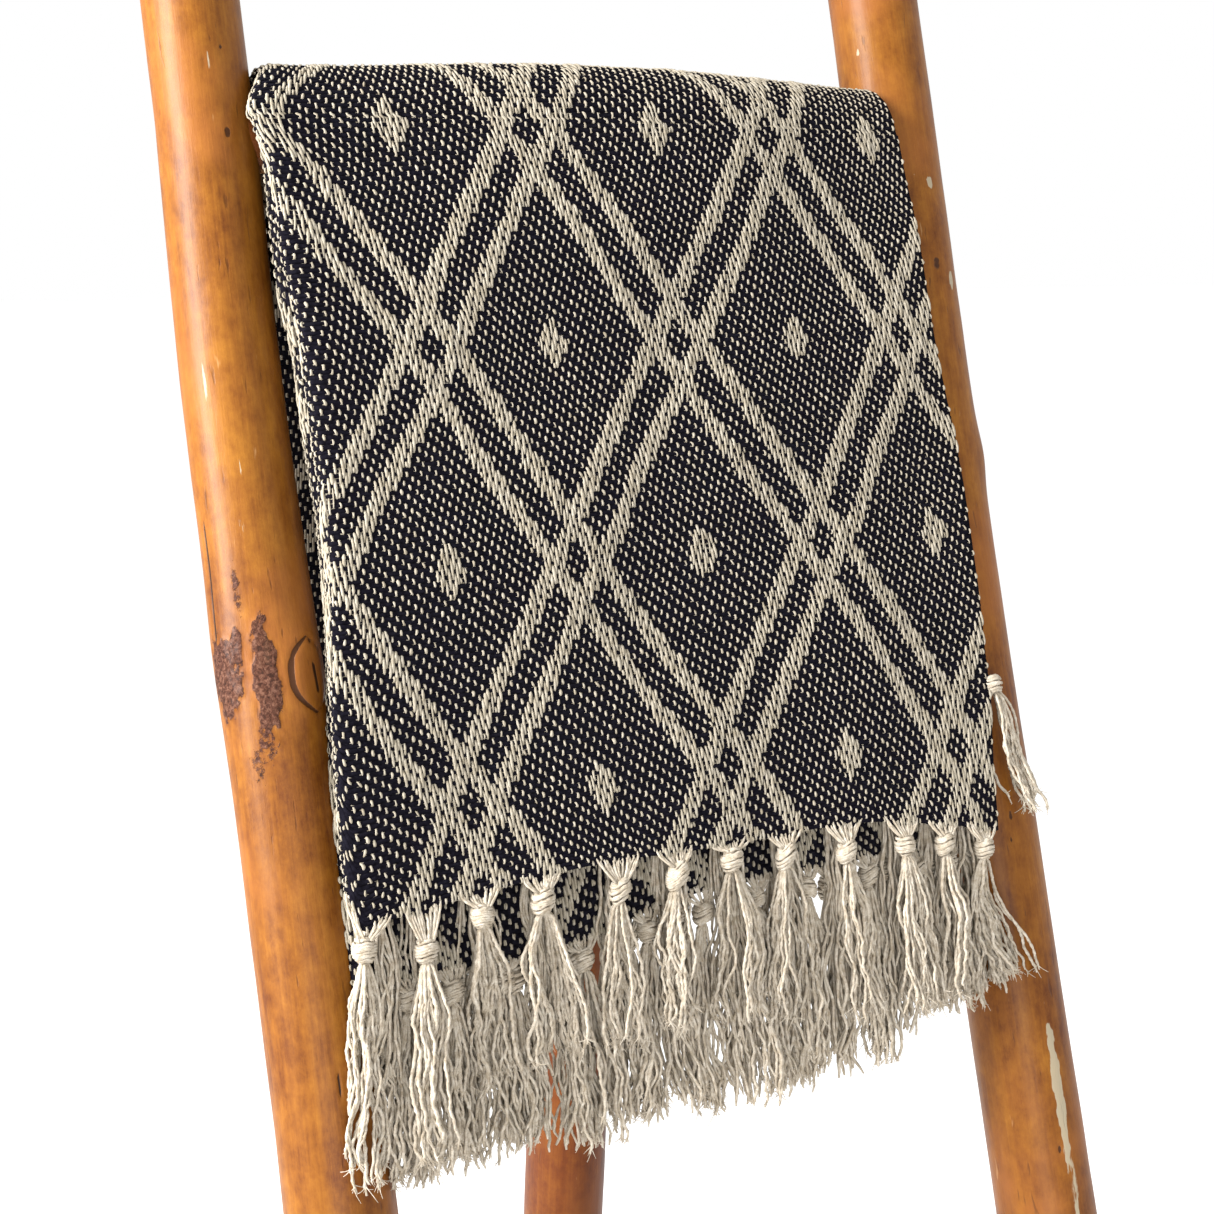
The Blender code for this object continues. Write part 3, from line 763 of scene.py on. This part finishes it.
def make_tassel_row(name, panel, outer, seed, places, fine, numbers):
    """Knots and tassels along one panel's hem; places are x positions."""
    draw = np.random.RandomState(seed)
    start_u, _, way = PANELS[panel]
    front = outer and panel == 3
    v_hem, v_in = (0.0, 1) if outer else (FLAT_LENGTH, -1)
    sides, count, rings, fan, loops = (6, 27, 56, 17, 12) if fine else (5, 17, 30, 6, 7)
    spread = 0.0110 if front else 0.0055 if outer else 0.0105
    u_line = np.linspace(start_u + 0.004, start_u + PANEL - 0.004, 200)[::way]
    line = surface(u_line, v_hem)[:, 0]
    edge = (v_hem + v_in * 0.0005, v_hem + v_in * 0.0042)
    parts = []
    for number in numbers:
        place_ = places[number]
        u = float(np.interp(place_, line, u_line))
        hem = surface(np.array([u]), v_hem)[0]
        down = unit(-UP - FRONT * (0.10 + 0.02 * draw.randn()))
        size = 0.0054 + 0.0003 * draw.randn()
        fall = 0.0085 + 0.0010 * draw.randn()
        forward = 0.0006
        if front:
            fall = KNOT_DROPS[number] + hem @ UP
        elif outer:
            size, fall, forward = BEHIND
        knot = hem + down * fall + FRONT * forward
        knot[0] = place_
        curl = 0.003 * draw.randn()
        if front:
            length = TASSEL_LENGTHS[number]
        else:
            length = float(np.interp(place_, HIDDEN_PLACES, HIDDEN_LENGTHS))
            length *= 1 + 0.04 * draw.randn()
            length += 0.010 * outer
        if front and number == 11:
            curl = 0.022  # the last tassel is blown out over the right stile
        hanging = hanging_yarns(draw, knot, down, length, count, rings, sides, spread, curl)
        parts.append(hanging)
        if fine:
            parts.append(frayed_ends(draw, hanging[0], 4))
        parts += knot_yarns(draw, knot, down, size, loops, sides)
        pitch = 0.0100 if front else 0.0085
        inward = way < 0 if outer else way > 0
        parts.append(fan_yarns(draw, u, edge, pitch, knot, down, size, fan, sides, inward))
    return yarn_object(name, TASSEL_YARN, parts)


# the loose yarn's distance to the right of its knot, by share of its length
LOOSE_YARN = ((0, 0.22, 0.42, 0.60, 0.8, 1.0), (0.0, 0.0110, 0.0125, 0.0110, 0.0170, 0.0205))


def make_corner_tassel():
    """The first panel's corner tassel, caught up at the right edge, with one long loose yarn."""
    draw = np.random.RandomState(83)
    down = unit(-UP + 0.10 * SIDE)
    knot = 0.1872 * SIDE - 0.3062 * UP + 0.0375 * FRONT
    hanging = hanging_yarns(draw, knot, down, 0.070, 15, 36, 6, 0.0056, 0.004)
    parts = [hanging, frayed_ends(draw, hanging[0], 6)]
    parts += knot_yarns(draw, knot, down, 0.0050, 10, 6)
    s = np.linspace(0, 1, 40)
    x = np.convolve(np.pad(np.interp(s, *LOOSE_YARN), 3, "edge"), np.ones(7) / 7, "valid")
    path = knot + x[:, None] * SIDE - (0.062 * s)[:, None] * UP
    width = np.full((1, 40), YARN_RADIUS * 0.9)
    parts.append(yarns(path[None], SIDE, width, width, 6, s[None] * 50, 0.3))
    return yarn_object("tassel_corner", TASSEL_YARN, parts)


# ---------------------------------------------------------------- wood


def attribute(name):
    return Sum(add_node("Attribute", {}, attribute_name=name).outputs["Fac"])


def ragged(mask, unevenness, low, high):
    """A soft mask with an uneven, sharper edge."""
    return (mask + (unevenness - 0.5) * mask.step(0.02, 0.3) * 1.1).step(low, high)


DARK_FLECK = (0.045, 0.012, 0.003)
PALE_FLECK = (0.48, 0.29, 0.13)
RING = (0.022, 0.007, 0.003)
BARK = ((0.38, (0.012, 0.003, 0.002)), (0.50, (0.050, 0.016, 0.009)), (0.66, (0.13, 0.062, 0.040)))
WORN = (0.38, 0.35, 0.25)
SAWN = (0.42, 0.25, 0.11)
CHECK = (0.030, 0.010, 0.004)
CRACK = (0.012, 0.004, 0.002)


def wood_material(name, dark, middle, light, blush, rough=0.45, coat=0.09):
    """Oiled, peeled branch: fine grain, cloudy patina, scrapes, and the marks the poles carry."""
    made, shader = new_material(name, rough, 0.15, coat, 0.30)
    where = place()
    long_grain = place(0.035)
    short_grain = place(0.16)
    hairs = noise(long_grain, 380.0, 4.0, 0.70, 0.2)
    streaks = noise(long_grain, 140.0, 4.0, 0.6, 0.5)
    cloudy = noise(place(0.5), 26.0, 5.0, 0.62, 0.6)
    mottle = noise(place(0.7), 130.0, 5.0, 0.72)
    fine = noise(short_grain, 700.0, 3.0, 0.6)
    tone = hairs * 0.18 + streaks * 0.12 + cloudy * 0.38 + mottle * 0.32
    color = ramp(tone, (0.39, dark), (0.50, middle), (0.61, light))
    color = mix(noise(where, 11.0).step(0.48, 0.66) * 0.6, color, blush)
    smudge = noise(place(0.4), 48.0, 5.0, 0.7).step(0.57, 0.72)
    color = mix(smudge * 0.20, color, dark)
    flecks = noise(short_grain, 330.0, 2.0, 0.5).step(0.67, 0.75)
    color = mix(flecks * 0.5, color, DARK_FLECK)
    pale = noise(place(0.22), 150.0).step(0.70, 0.76)
    color = mix(pale * 0.35, color, PALE_FLECK)
    # the marks, whose masks come with the mesh
    ring = (attribute("ring") * (noise(where, 110.0) * 0.5 + 0.76)).step(0.78, 0.90)
    color = mix(ring * 0.85, color, RING)
    bark = attribute("bark")
    stain = bark.step(0.0, 0.45) * noise(where, 90.0, 4.0, 0.65).step(0.36, 0.62)
    color = mix(stain * 0.55, color, dark)
    bark = ragged(bark, noise(where, 260.0, 5.0, 0.7), 0.44, 0.56)
    flakes = noise(where, 620.0, 4.0, 0.7, 0.5)
    color = mix(bark * 0.92, color, ramp(flakes, *BARK))
    worn = ragged(attribute("worn"), noise(short_grain, 260.0, 4.0, 0.7), 0.46, 0.60)
    color = mix(worn * 0.7, color, WORN)
    # the sawn ends show growth rings and a few radial checks
    x, y, _ = split("Object")
    sawn = abs(split("Normal")[2]).step(0.80, 0.90)
    from_pith = (x * x + y * y) ** 0.5 * 420.0
    growth = (from_pith + noise(where, 60.0, 2.0) * 1.6).near() * 2
    check = (x.turn_from(y) * 1.3 + noise(where, 90.0, 2.0) * 0.5).near().below(0.035)
    sawn_color = ramp(growth * 0.7 + fine * 0.5, (0.2, dark), (0.6, light), (0.95, SAWN))
    sawn_color = mix(check * from_pith.step(2.0, 7.0) * 0.85, sawn_color, CHECK)
    color = mix(sawn, color, sawn_color)
    crack = attribute("crack").step(0.35, 0.75)
    feed(shader["Base Color"], mix(crack * 0.95, color, CRACK))
    feed(shader["Roughness"], bark * 0.35 + rough)
    height = hairs * 0.35 + streaks * 0.25 + fine * 0.3 - flecks * 0.4 + mottle * 0.35
    bump(shader, height + bark * flakes * 2.5 - ring - crack * 1.5, 0.0006, 0.55)
    return made


# dark, middle, light and blush
WOODS = {
    "stile_wood": wood_material(
        "stile_wood",
        (0.090, 0.023, 0.002), (0.170, 0.056, 0.005), (0.240, 0.091, 0.009), (0.245, 0.082, 0.017),
    ),
    # the rear leg's wood is the stile wood made darker as painted shade, for the leg stands in the
    # shade of the throw and the stiles
    "leg_wood": wood_material(
        "leg_wood",
        (0.047, 0.009, 0.001), (0.098, 0.022, 0.0015), (0.148, 0.043, 0.003), (0.14, 0.040, 0.006),
        coat=0.04,
    ),
    "rung_wood": wood_material(
        "rung_wood",
        (0.080, 0.017, 0.003), (0.140, 0.036, 0.005), (0.200, 0.064, 0.009), (0.20, 0.062, 0.015),
    ),
    "peg_wood": wood_material(
        "peg_wood",
        (0.22, 0.10, 0.035), (0.36, 0.20, 0.085), (0.46, 0.28, 0.13), (0.50, 0.32, 0.16),
        rough=0.6, coat=0.0,
    ),
}

# ---------------------------------------------------------------- poles


def periodic(angle, up, seed, size, stretch, count=7):
    """Smooth unevenness round and along a pole, between about -1 and 1."""
    draw = np.random.RandomState(seed)
    total = np.zeros(np.broadcast(angle, up).shape)
    for _ in range(count):
        around = draw.randint(1, size + 1) * angle
        along = draw.uniform(0.3, 1.0) * TURN / stretch * up
        share = draw.uniform(0.5, 1)
        total = total + share * np.sin(around + draw.choice([-1, 1]) * along + draw.rand() * 6.3)
    return total / count


def marks(angle, drop, features):
    """Relief and soft masks of knots, bark, worn patches and cracks, given by angle and drop."""
    relief = np.zeros(angle.shape)
    masks = {kind: np.zeros(angle.shape) for kind in ("ring", "bark", "worn", "crack")}

    def paint(kind, values):
        masks[kind] = np.maximum(masks[kind], values)

    for kind, at_angle, at_drop, half_angle, half_drop, rise in features:
        a = (angle - math.radians(at_angle) + math.pi) % TURN - math.pi
        b = drop - at_drop
        rough = 0.25 * np.sin(9 * a + 300 * b + at_drop * 50) + 0.2 * np.sin(23 * a - 520 * b)
        rough = rough + 0.12 * np.sin(41 * a + 900 * b)
        away = np.sqrt((a / half_angle) ** 2 + (b / half_drop) ** 2)
        if kind == "bark":
            paint("bark", 1 - smooth((away + rough * 0.45 - 0.60) / 0.80))
            raised = 1 - smooth((away + rough * 0.6 - 0.75) / 0.45)
            relief += rise * raised * (0.7 + 0.8 * rough)
        elif kind == "smudge":
            paint("bark", 0.50 * (1 - smooth((away - 0.3) / 1.1)))
        elif kind == "eye":
            lens = np.abs(a / half_angle) + np.abs(b / half_drop) ** 2.8
            paint("ring", hump((lens - 1) / 0.30) * (0.93 - 0.07 * np.sign(a)))
            line = hump((a - 0.10 * half_angle - 3.0 * b) / 0.045)
            beyond = np.abs(b - 0.1 * half_drop) / half_drop - 0.30
            paint("crack", 0.9 * line * (1 - smooth(beyond / 0.25)))
            relief += rise * hump(away / 1.3, 4) - 0.0006 * hump((lens - 1) / 0.20)
        elif kind == "knot":
            paint("ring", hump(away / 1.5))
            relief += rise * hump(away / 1.4) - 0.0004 * hump(away / 0.9)
        elif kind == "worn":
            paint("worn", 0.80 * (1 - smooth((away + 0.3 * rough - 0.5) / 0.7)))
        elif kind == "scrape":
            paint("worn", 0.52 * (1 - smooth((away - 0.4) / 0.9)))
        elif kind == "crack":
            line = hump(a / half_angle + 0.25 * np.sin(b * 190 + at_angle))
            body = line * (1 - smooth((np.abs(b) / half_drop - 0.7) / 0.3))
            paint("crack", body)
            relief -= rise * body
        elif kind == "swell":
            relief += rise * hump(away)
    return relief, masks


# kind, angle from the front to the right in degrees, drop below the top rung (on a rung, distance
# from its middle), half sizes in radians and metres, relief
MARKS = {
    "left_stile": (
        ("bark", -69, 0.2575, 0.380, 0.0185, 0.0009),
        ("bark", -20, 0.2610, 0.230, 0.0270, 0.0007),
        ("bark", -48, 0.2450, 0.120, 0.0090, 0.0005),
        ("smudge", -41, 0.3000, 0.220, 0.0130, 0.0001),
        ("smudge", -40, 0.2180, 0.130, 0.0200, 0.0001),
        ("smudge", -28, 0.2900, 0.260, 0.0160, 0.0001),
        ("eye", 30, 0.2605, 0.420, 0.0178, 0.0012),
        ("crack", -76, 0.2130, 0.035, 0.034, 0.0008),
        ("crack", -2, 0.446, 0.024, 0.006, 0.0004),
        ("knot", 33, 0.2450, 0.075, 0.0030, 0.0),
        ("worn", -17, 0.162, 0.034, 0.0065, 0.0),
        ("scrape", -24, 0.187, 0.100, 0.0140, 0.0),
        ("scrape", -2, -0.030, 0.060, 0.0090, 0.0),
        ("scrape", -45, 0.120, 0.060, 0.0200, 0.0),
        ("knot", 10, 0.005, 0.09, 0.0040, 0.0003),
        ("knot", -8, -0.029, 0.05, 0.0025, 0.0),
        ("knot", 14, -0.037, 0.05, 0.0025, 0.0),
        ("swell", -85, 0.246, 0.55, 0.030, 0.0014),
        ("swell", 30, 0.260, 0.60, 0.045, 0.0010),
        ("knot", 160, 0.340, 0.22, 0.012, 0.0010),
        ("eye", 140, 0.760, 0.26, 0.016, 0.0010),
        ("eye", -30, 0.930, 0.26, 0.018, 0.0012),
        ("bark", -45, 0.960, 0.26, 0.020, 0.0005),
        ("bark", 170, 1.040, 0.30, 0.026, 0.0006),
        ("crack", 70, 0.700, 0.030, 0.050, 0.0007),
        ("worn", -20, 1.150, 0.12, 0.040, 0.0),
    ),
    "right_stile": (
        ("worn", 0, 0.530, 0.150, 0.052, 0.0),
        ("scrape", 1, 0.575, 0.170, 0.040, 0.0),
        ("knot", 0, 0.0705, 0.13, 0.006, 0.0005),
        ("worn", 8, 0.0235, 0.12, 0.0050, 0.0),
        ("worn", -13, 0.0205, 0.05, 0.0022, 0.0),
        ("worn", 23, 0.0785, 0.10, 0.0065, 0.0),
        ("worn", -65, -0.056, 0.06, 0.003, 0.0),
        ("knot", -8, 0.379, 0.06, 0.004, 0.0),
        ("knot", -12, 0.392, 0.04, 0.003, 0.0),
        ("knot", -10, 0.560, 0.05, 0.003, 0.0),
        ("swell", 55, 0.178, 0.40, 0.016, 0.0016),
        ("swell", 10, 0.065, 0.50, 0.030, 0.0008),
        ("eye", 170, 0.300, 0.26, 0.016, 0.0010),
        ("knot", 120, 0.620, 0.20, 0.011, 0.0009),
        ("eye", -40, 0.860, 0.24, 0.017, 0.0011),
        ("bark", 20, 1.050, 0.30, 0.024, 0.0006),
        ("bark", 160, 0.780, 0.26, 0.030, 0.0006),
        ("crack", -20, 0.740, 0.030, 0.060, 0.0007),
    ),
    "rear_leg": (
        ("eye", -150, 0.620, 0.28, 0.018, 0.0011),
        ("knot", -60, 0.545, 0.10, 0.005, 0.0004),
        ("knot", 30, 0.420, 0.20, 0.010, 0.0008),
        ("knot", -30, 0.880, 0.20, 0.012, 0.0010),
        ("bark", 150, 0.500, 0.26, 0.026, 0.0006),
        ("crack", -40, 1.000, 0.030, 0.050, 0.0007),
        ("eye", 120, 0.980, 0.26, 0.017, 0.0011),
        ("worn", 170, 0.800, 0.12, 0.040, 0.0),
    ),
    "rung_2": (
        ("knot", 20, 0.082, 0.28, 0.009, 0.0008),
        ("crack", 200, -0.060, 0.040, 0.030, 0.0006),
    ),
    "rung_3": (
        ("eye", -40, -0.061, 0.40, 0.012, 0.0009),
        ("bark", 150, 0.090, 0.40, 0.016, 0.0004),
    ),
    "rung_4": (
        ("knot", 60, -0.094, 0.30, 0.008, 0.0008),
        ("eye", 170, 0.052, 0.40, 0.013, 0.0009),
    ),
}
STILE_LENGTH = 1.54
TOP_RUNG_UP = 1.34  # along a stile from its foot
CHAMFER = 0.003
POLE_SIDES = 128
# side: radius at the foot and at the top, phase of its sway, the lowest drop of the closer rings
# that its marks need, and seed
STILES = {"left": (0.0258, 0.0231, 0.4, 0.345, 11), "right": (0.0290, 0.0248, 2.1, 0.640, 21)}
# the left stile's slight bends and its swelling towards the foot, by drop below the top rung
BENDS = np.array([
    (-0.20, 0.0036, 0.0), (-0.025, 0.0037, 0.0), (-0.007, 0.0037, 0.0), (0.010, 0.0033, 0.0),
    (0.032, 0.0027, 0.0), (0.075, 0.0018, 0.0), (0.119, 0.0010, 0.0003), (0.162, 0.0009, 0.0003),
    (0.206, 0.0014, 0.0004), (0.249, 0.0020, 0.0010), (0.293, 0.0024, 0.0015),
    (0.336, 0.0031, 0.0016), (0.380, 0.0036, 0.0022), (0.423, 0.0042, 0.0023),
    (0.467, 0.0049, 0.0028), (0.60, 0.0050, 0.0030), (1.10, 0.0, 0.0010),
])
LEG_FOOT_RADIUS = 0.0256
LEG_TOP_RADIUS = 0.0238
LEG_HEAD_UP = 0.0248  # how far the leg's rounded head stands above the rung's axis


def make_pole(
    node, body, slot, matrix, ups, drops, radius, sway_x, sway_y, seed, deep=1.0, swell=0.0, cut=0.0
):
    """A peeled branch that replaces a CAD node, in its own frame: Z along it and -Y to the front.

    ups and drops are its rings' heights, from the foot and from the top rung. deep is its depth as
    a share of its width, swell makes it wider at the front, and cut slants its foot to stand flat.
    """
    angle = (np.arange(POLE_SIDES) * TURN / POLE_SIDES)[None, :]
    # more of the points go to the front
    angle = np.broadcast_to(angle - 0.4 * np.sin(angle), (len(ups), POLE_SIDES))
    up = np.broadcast_to(ups[:, None], angle.shape)
    relief, masks = marks(angle, np.broadcast_to(drops[:, None], angle.shape), MARKS[node])
    relief = relief + 0.00045 * periodic(angle, up, seed, 3, 0.16)
    relief = relief + 0.00022 * periodic(angle, up, seed + 1, 7, 0.05, 9)
    relief = relief + 0.00009 * periodic(angle, up, seed + 2, 30, 0.03, 16)
    fade = smooth((up - ups.min()) / 0.01) * smooth((ups.max() - up) / 0.006)
    swell = np.reshape(swell, (-1, 1)) * (0.5 + 0.5 * np.cos(angle))
    size = radius[:, None] + relief * fade + swell
    # the angle is measured from the front, towards the right
    x = size * np.sin(angle) + sway_x[:, None]
    y = -size * np.reshape(deep, (-1, 1)) * np.cos(angle) + sway_y[:, None]
    z = up + cut * y * (1 - smooth((up - ups.min()) / 0.06))
    faces = tube_faces(1, len(ups), POLE_SIDES)
    made = mesh_object(f"{node}_branch", [WOODS[slot]], np.stack([x, y, z], -1), *faces)
    for kind, values in masks.items():
        layer = made.data.attributes.new(kind, "FLOAT", "POINT")
        layer.data.foreach_set("value", values.astype(np.float32).reshape(-1))
    made.matrix_world = matrix
    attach(made, body)
    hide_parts(node)


def make_stile(side):
    foot_radius, top_radius, sway_start, marked, seed = STILES[side]
    low = TOP_RUNG_UP - marked
    ups = [np.linspace(0, STILE_LENGTH, 500)[:-1], np.linspace(low, low + 0.150, 126)]
    ups = np.concatenate([*ups, STILE_LENGTH - np.array([0.0016, 0.0010, 0.0004, 0.0])])
    ups = np.unique(np.round(ups, 6))
    drops = TOP_RUNG_UP - ups
    # the last rings are pulled in, so that the sawn end has a rounded edge
    rim = 1 - np.clip((ups[-1] - ups) / CHAMFER, 0, 1)
    radius = foot_radius + (top_radius - foot_radius) * ups / STILE_LENGTH
    radius = radius - CHAMFER * (1 - np.sqrt(np.maximum(1 - rim**2, 0)))
    wave = TURN * ups / 0.83
    grown = smooth(ups / 0.3)
    sway_x = 0.0009 * grown * np.sin(wave + sway_start)
    sway_y = 0.0012 * grown * np.sin(0.7 * wave + sway_start)
    swell = 0.0
    if side == "left":
        sway_x = sway_x + np.interp(drops, BENDS[:, 0], BENDS[:, 1])
        swell = np.interp(drops, BENDS[:, 0], BENDS[:, 2])
    foot = Matrix.Translation(Vector(MOUNTS[f"{side}_foot"]))
    matrix = foot @ Matrix.Rotation(-LEAN, 4, "X")
    shape = dict(swell=swell, cut=math.tan(LEAN))
    node = f"{side}_stile"
    make_pole(node, "rack", "stile_wood", matrix, ups, drops, radius, sway_x, sway_y, seed, **shape)


def make_leg():
    length = AXIS[2] / math.cos(LEG_LEAN)
    low = np.linspace(-length, 0, 540)
    turn = np.radians(np.linspace(4, 84, 21))
    ups = np.concatenate([low, LEG_HEAD_UP * np.sin(turn)])
    body = LEG_FOOT_RADIUS + (LEG_TOP_RADIUS - LEG_FOOT_RADIUS) * (low / length + 1)
    head = LEG_TOP_RADIUS * (1 - 0.22 * (np.degrees(turn) / 80) ** 3)
    radius = np.concatenate([body, head])
    head_deep = np.minimum(LEG_HEAD_UP * np.cos(turn), LEG_TOP_RADIUS)
    shape = dict(deep=np.concatenate([body, head_deep]) / radius, cut=-math.tan(LEG_LEAN))
    sway = 0.0012 * np.sin(TURN * ups / 0.9) * smooth(1 + ups / length)
    top = Matrix.Translation(Vector(AXIS + LEG_X * SIDE))
    matrix = top @ Matrix.Rotation(LEG_LEAN, 4, "X")
    sways = sway, np.zeros(len(ups))
    # the leg's wood carries painted shade: it is darker than the stiles' wood
    make_pole("rear_leg", "rear_leg", "leg_wood", matrix, ups, -ups, radius, *sways, 31, **shape)


def make_rung(number):
    node = f"rung_{number}"
    low, high = np.array(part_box(node))
    half = (high - low) / 2
    along = np.linspace(-half[0], half[0], 240)
    radius = half[2] - 0.0003 + 0.0004 * along / half[0] * (-1) ** number
    sway = 0.0008 * np.cos(math.pi / 2 * along / half[0])
    matrix = Matrix.Translation(Vector((low + high) / 2)) @ Matrix.Rotation(math.pi / 2, 4, "Y")
    sways = sway * math.sin(number), sway * math.cos(number)
    make_pole(node, "rack", "rung_wood", matrix, along, along, radius, *sways, 40 + number)


def dress_cad_nodes():
    pegs = [f"rung_{n}_{side}_peg" for n in (1, 2, 3, 4) for side in STILES]
    for name in [*pegs, "leg_stop_peg"]:
        bpy.data.objects[name].material_slots[0].material = WOODS["peg_wood"]
    bpy.data.objects["rung_1"].material_slots[0].material = WOODS["rung_wood"]


make_stile("left")
make_stile("right")
make_leg()
for rung in (2, 3, 4):
    make_rung(rung)
dress_cad_nodes()

# ---------------------------------------------------------------- the throw

CREAMS = (CREAM_DARK, CREAM, CREAM_LIGHT)
WARP_YARN = yarn_material("warp_yarn", CREAMS, 260.0, 0.1)
WEFT_YARN = yarn_material("weft_yarn", (INK, INK_MIDDLE, INK_LIGHT), 420.0, 0.03)
TASSEL_YARN = yarn_material("tassel_yarn", TASSEL_COLORS, 300.0, 0.1)

# the outermost panel across the cloth, its front and back along it, and the inner layers that show
OUTERMOST = (1.0660, 1.4395)
FRONT_HALF = (0.0, 0.3795)
BACK_HALF = (0.3795, 0.7600)
INNER_FOLD = ((1.0660, 1.0945), (0.7600, 1.4995))
INNER_HEM_STRIP = ((0.7250, 1.0660), (1.4450, 1.4995))

throw = make_sheet()
cloth_pieces = [
    make_floats("warp_front", OUTERMOST, FRONT_HALF, 1),
    make_floats("warp_back", OUTERMOST, BACK_HALF, 2),
    make_weft("weft_front", OUTERMOST, FRONT_HALF, 4),
    make_weft("weft_back", OUTERMOST, BACK_HALF, 5),
    make_floats("warp_inner_fold", *INNER_FOLD, 6),
    make_floats("warp_inner_hem", *INNER_HEM_STRIP, 7),
]
INNER_PLACES = (
    -0.158, -0.137, -0.111, -0.069, -0.033, -0.001, 0.030, 0.060, 0.098, 0.129, 0.149, 0.166,
)
EVEN_PLACES = [-0.165 + 0.0305 * n for n in range(12)]
LEFT_HALF, RIGHT_HALF, ALL = range(6), range(6, 12), range(12)
# name, panel, whether on the outer hem, seed, places, whether fine, and which tassels
rows = [
    ("tassels_front_left", 3, True, 51, KNOT_PLACES, True, LEFT_HALF),
    ("tassels_front_right", 3, True, 53, KNOT_PLACES, True, RIGHT_HALF),
    ("tassels_inner_hem_left", 2, False, 52, INNER_PLACES, True, LEFT_HALF),
    ("tassels_inner_hem_right", 2, False, 54, INNER_PLACES, True, RIGHT_HALF),
]
for panel, shift in enumerate((0.003, -0.002, 0.001)):
    places = [min(max(x, -0.171), 0.157) + shift for x in KNOT_PLACES]
    rows.append((f"tassels_outer_{panel}", panel, True, 60 + panel, places, False, ALL))
for panel in (0, 1, 3):
    rows.append((f"tassels_inner_{panel}", panel, False, 70 + panel, EVEN_PLACES, False, ALL))
cloth_pieces += [make_tassel_row(*row) for row in rows]
cloth_pieces.append(make_corner_tassel())

for piece in [throw, *cloth_pieces]:
    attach(piece, "throw")
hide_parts("throw")
for row, node, first, last in (
    ("tassels_front_left", "front_tassel", 1, 6),
    ("tassels_front_right", "front_tassel", 7, 12),
    ("tassels_inner_hem_left", "rear_tassel", 1, 6),
    ("tassels_inner_hem_right", "rear_tassel", 7, 11),
):
    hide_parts(*[f"{node}_{n:02d}" for n in range(first, last + 1)])

# ---------------------------------------------------------------- studio

WHITE = (1, 1, 1)


def make_floor():
    half = 40.0
    made, shader = new_material("floor", 0.9, 0.1)
    tone = ramp(noise(place(), 3.0), (0.3, (0.86, 0.86, 0.86)), (0.7, (0.90, 0.90, 0.90)))
    feed(shader["Base Color"], tone)
    feed(shader["Emission Color"], WHITE)
    feed(shader["Emission Strength"], 0.16)
    corners = [(-half, -half, 0), (half, -half, 0), (half, half, 0), (-half, half, 0)]
    mesh_object("floor", [made], corners, [(0, 1, 2, 3)])


def area_light(name, location, target, size, power, color=WHITE):
    data = bpy.data.lights.new(name, "AREA")
    data.shape = "RECTANGLE"
    data.size, data.size_y = size
    data.energy = power
    data.color = color
    made = add_object(name, data)
    made.location = location
    made.rotation_euler = (Vector(target) - made.location).to_track_quat("-Z", "Y").to_euler()


def make_world():
    world = bpy.data.worlds.new("studio")
    world.use_nodes = True
    background = world.node_tree.nodes["Background"].inputs
    background["Color"].default_value = (*WHITE, 1)
    background["Strength"].default_value = 1.0
    bpy.context.scene.world = world


make_floor()
make_world()
window_color = (1.0, 0.992, 0.985)
area_light("window", (-1.78, -0.02, 1.82), (0, 0, 1.15), (0.7, 1.5), 132.0, window_color)
area_light("fill", (-0.90, -2.20, 0.90), (0, 0, 1.00), (1.3, 1.3), 25.0)
bpy.context.scene.view_settings.view_transform = "Standard"
bpy.context.scene.view_settings.look = "None"
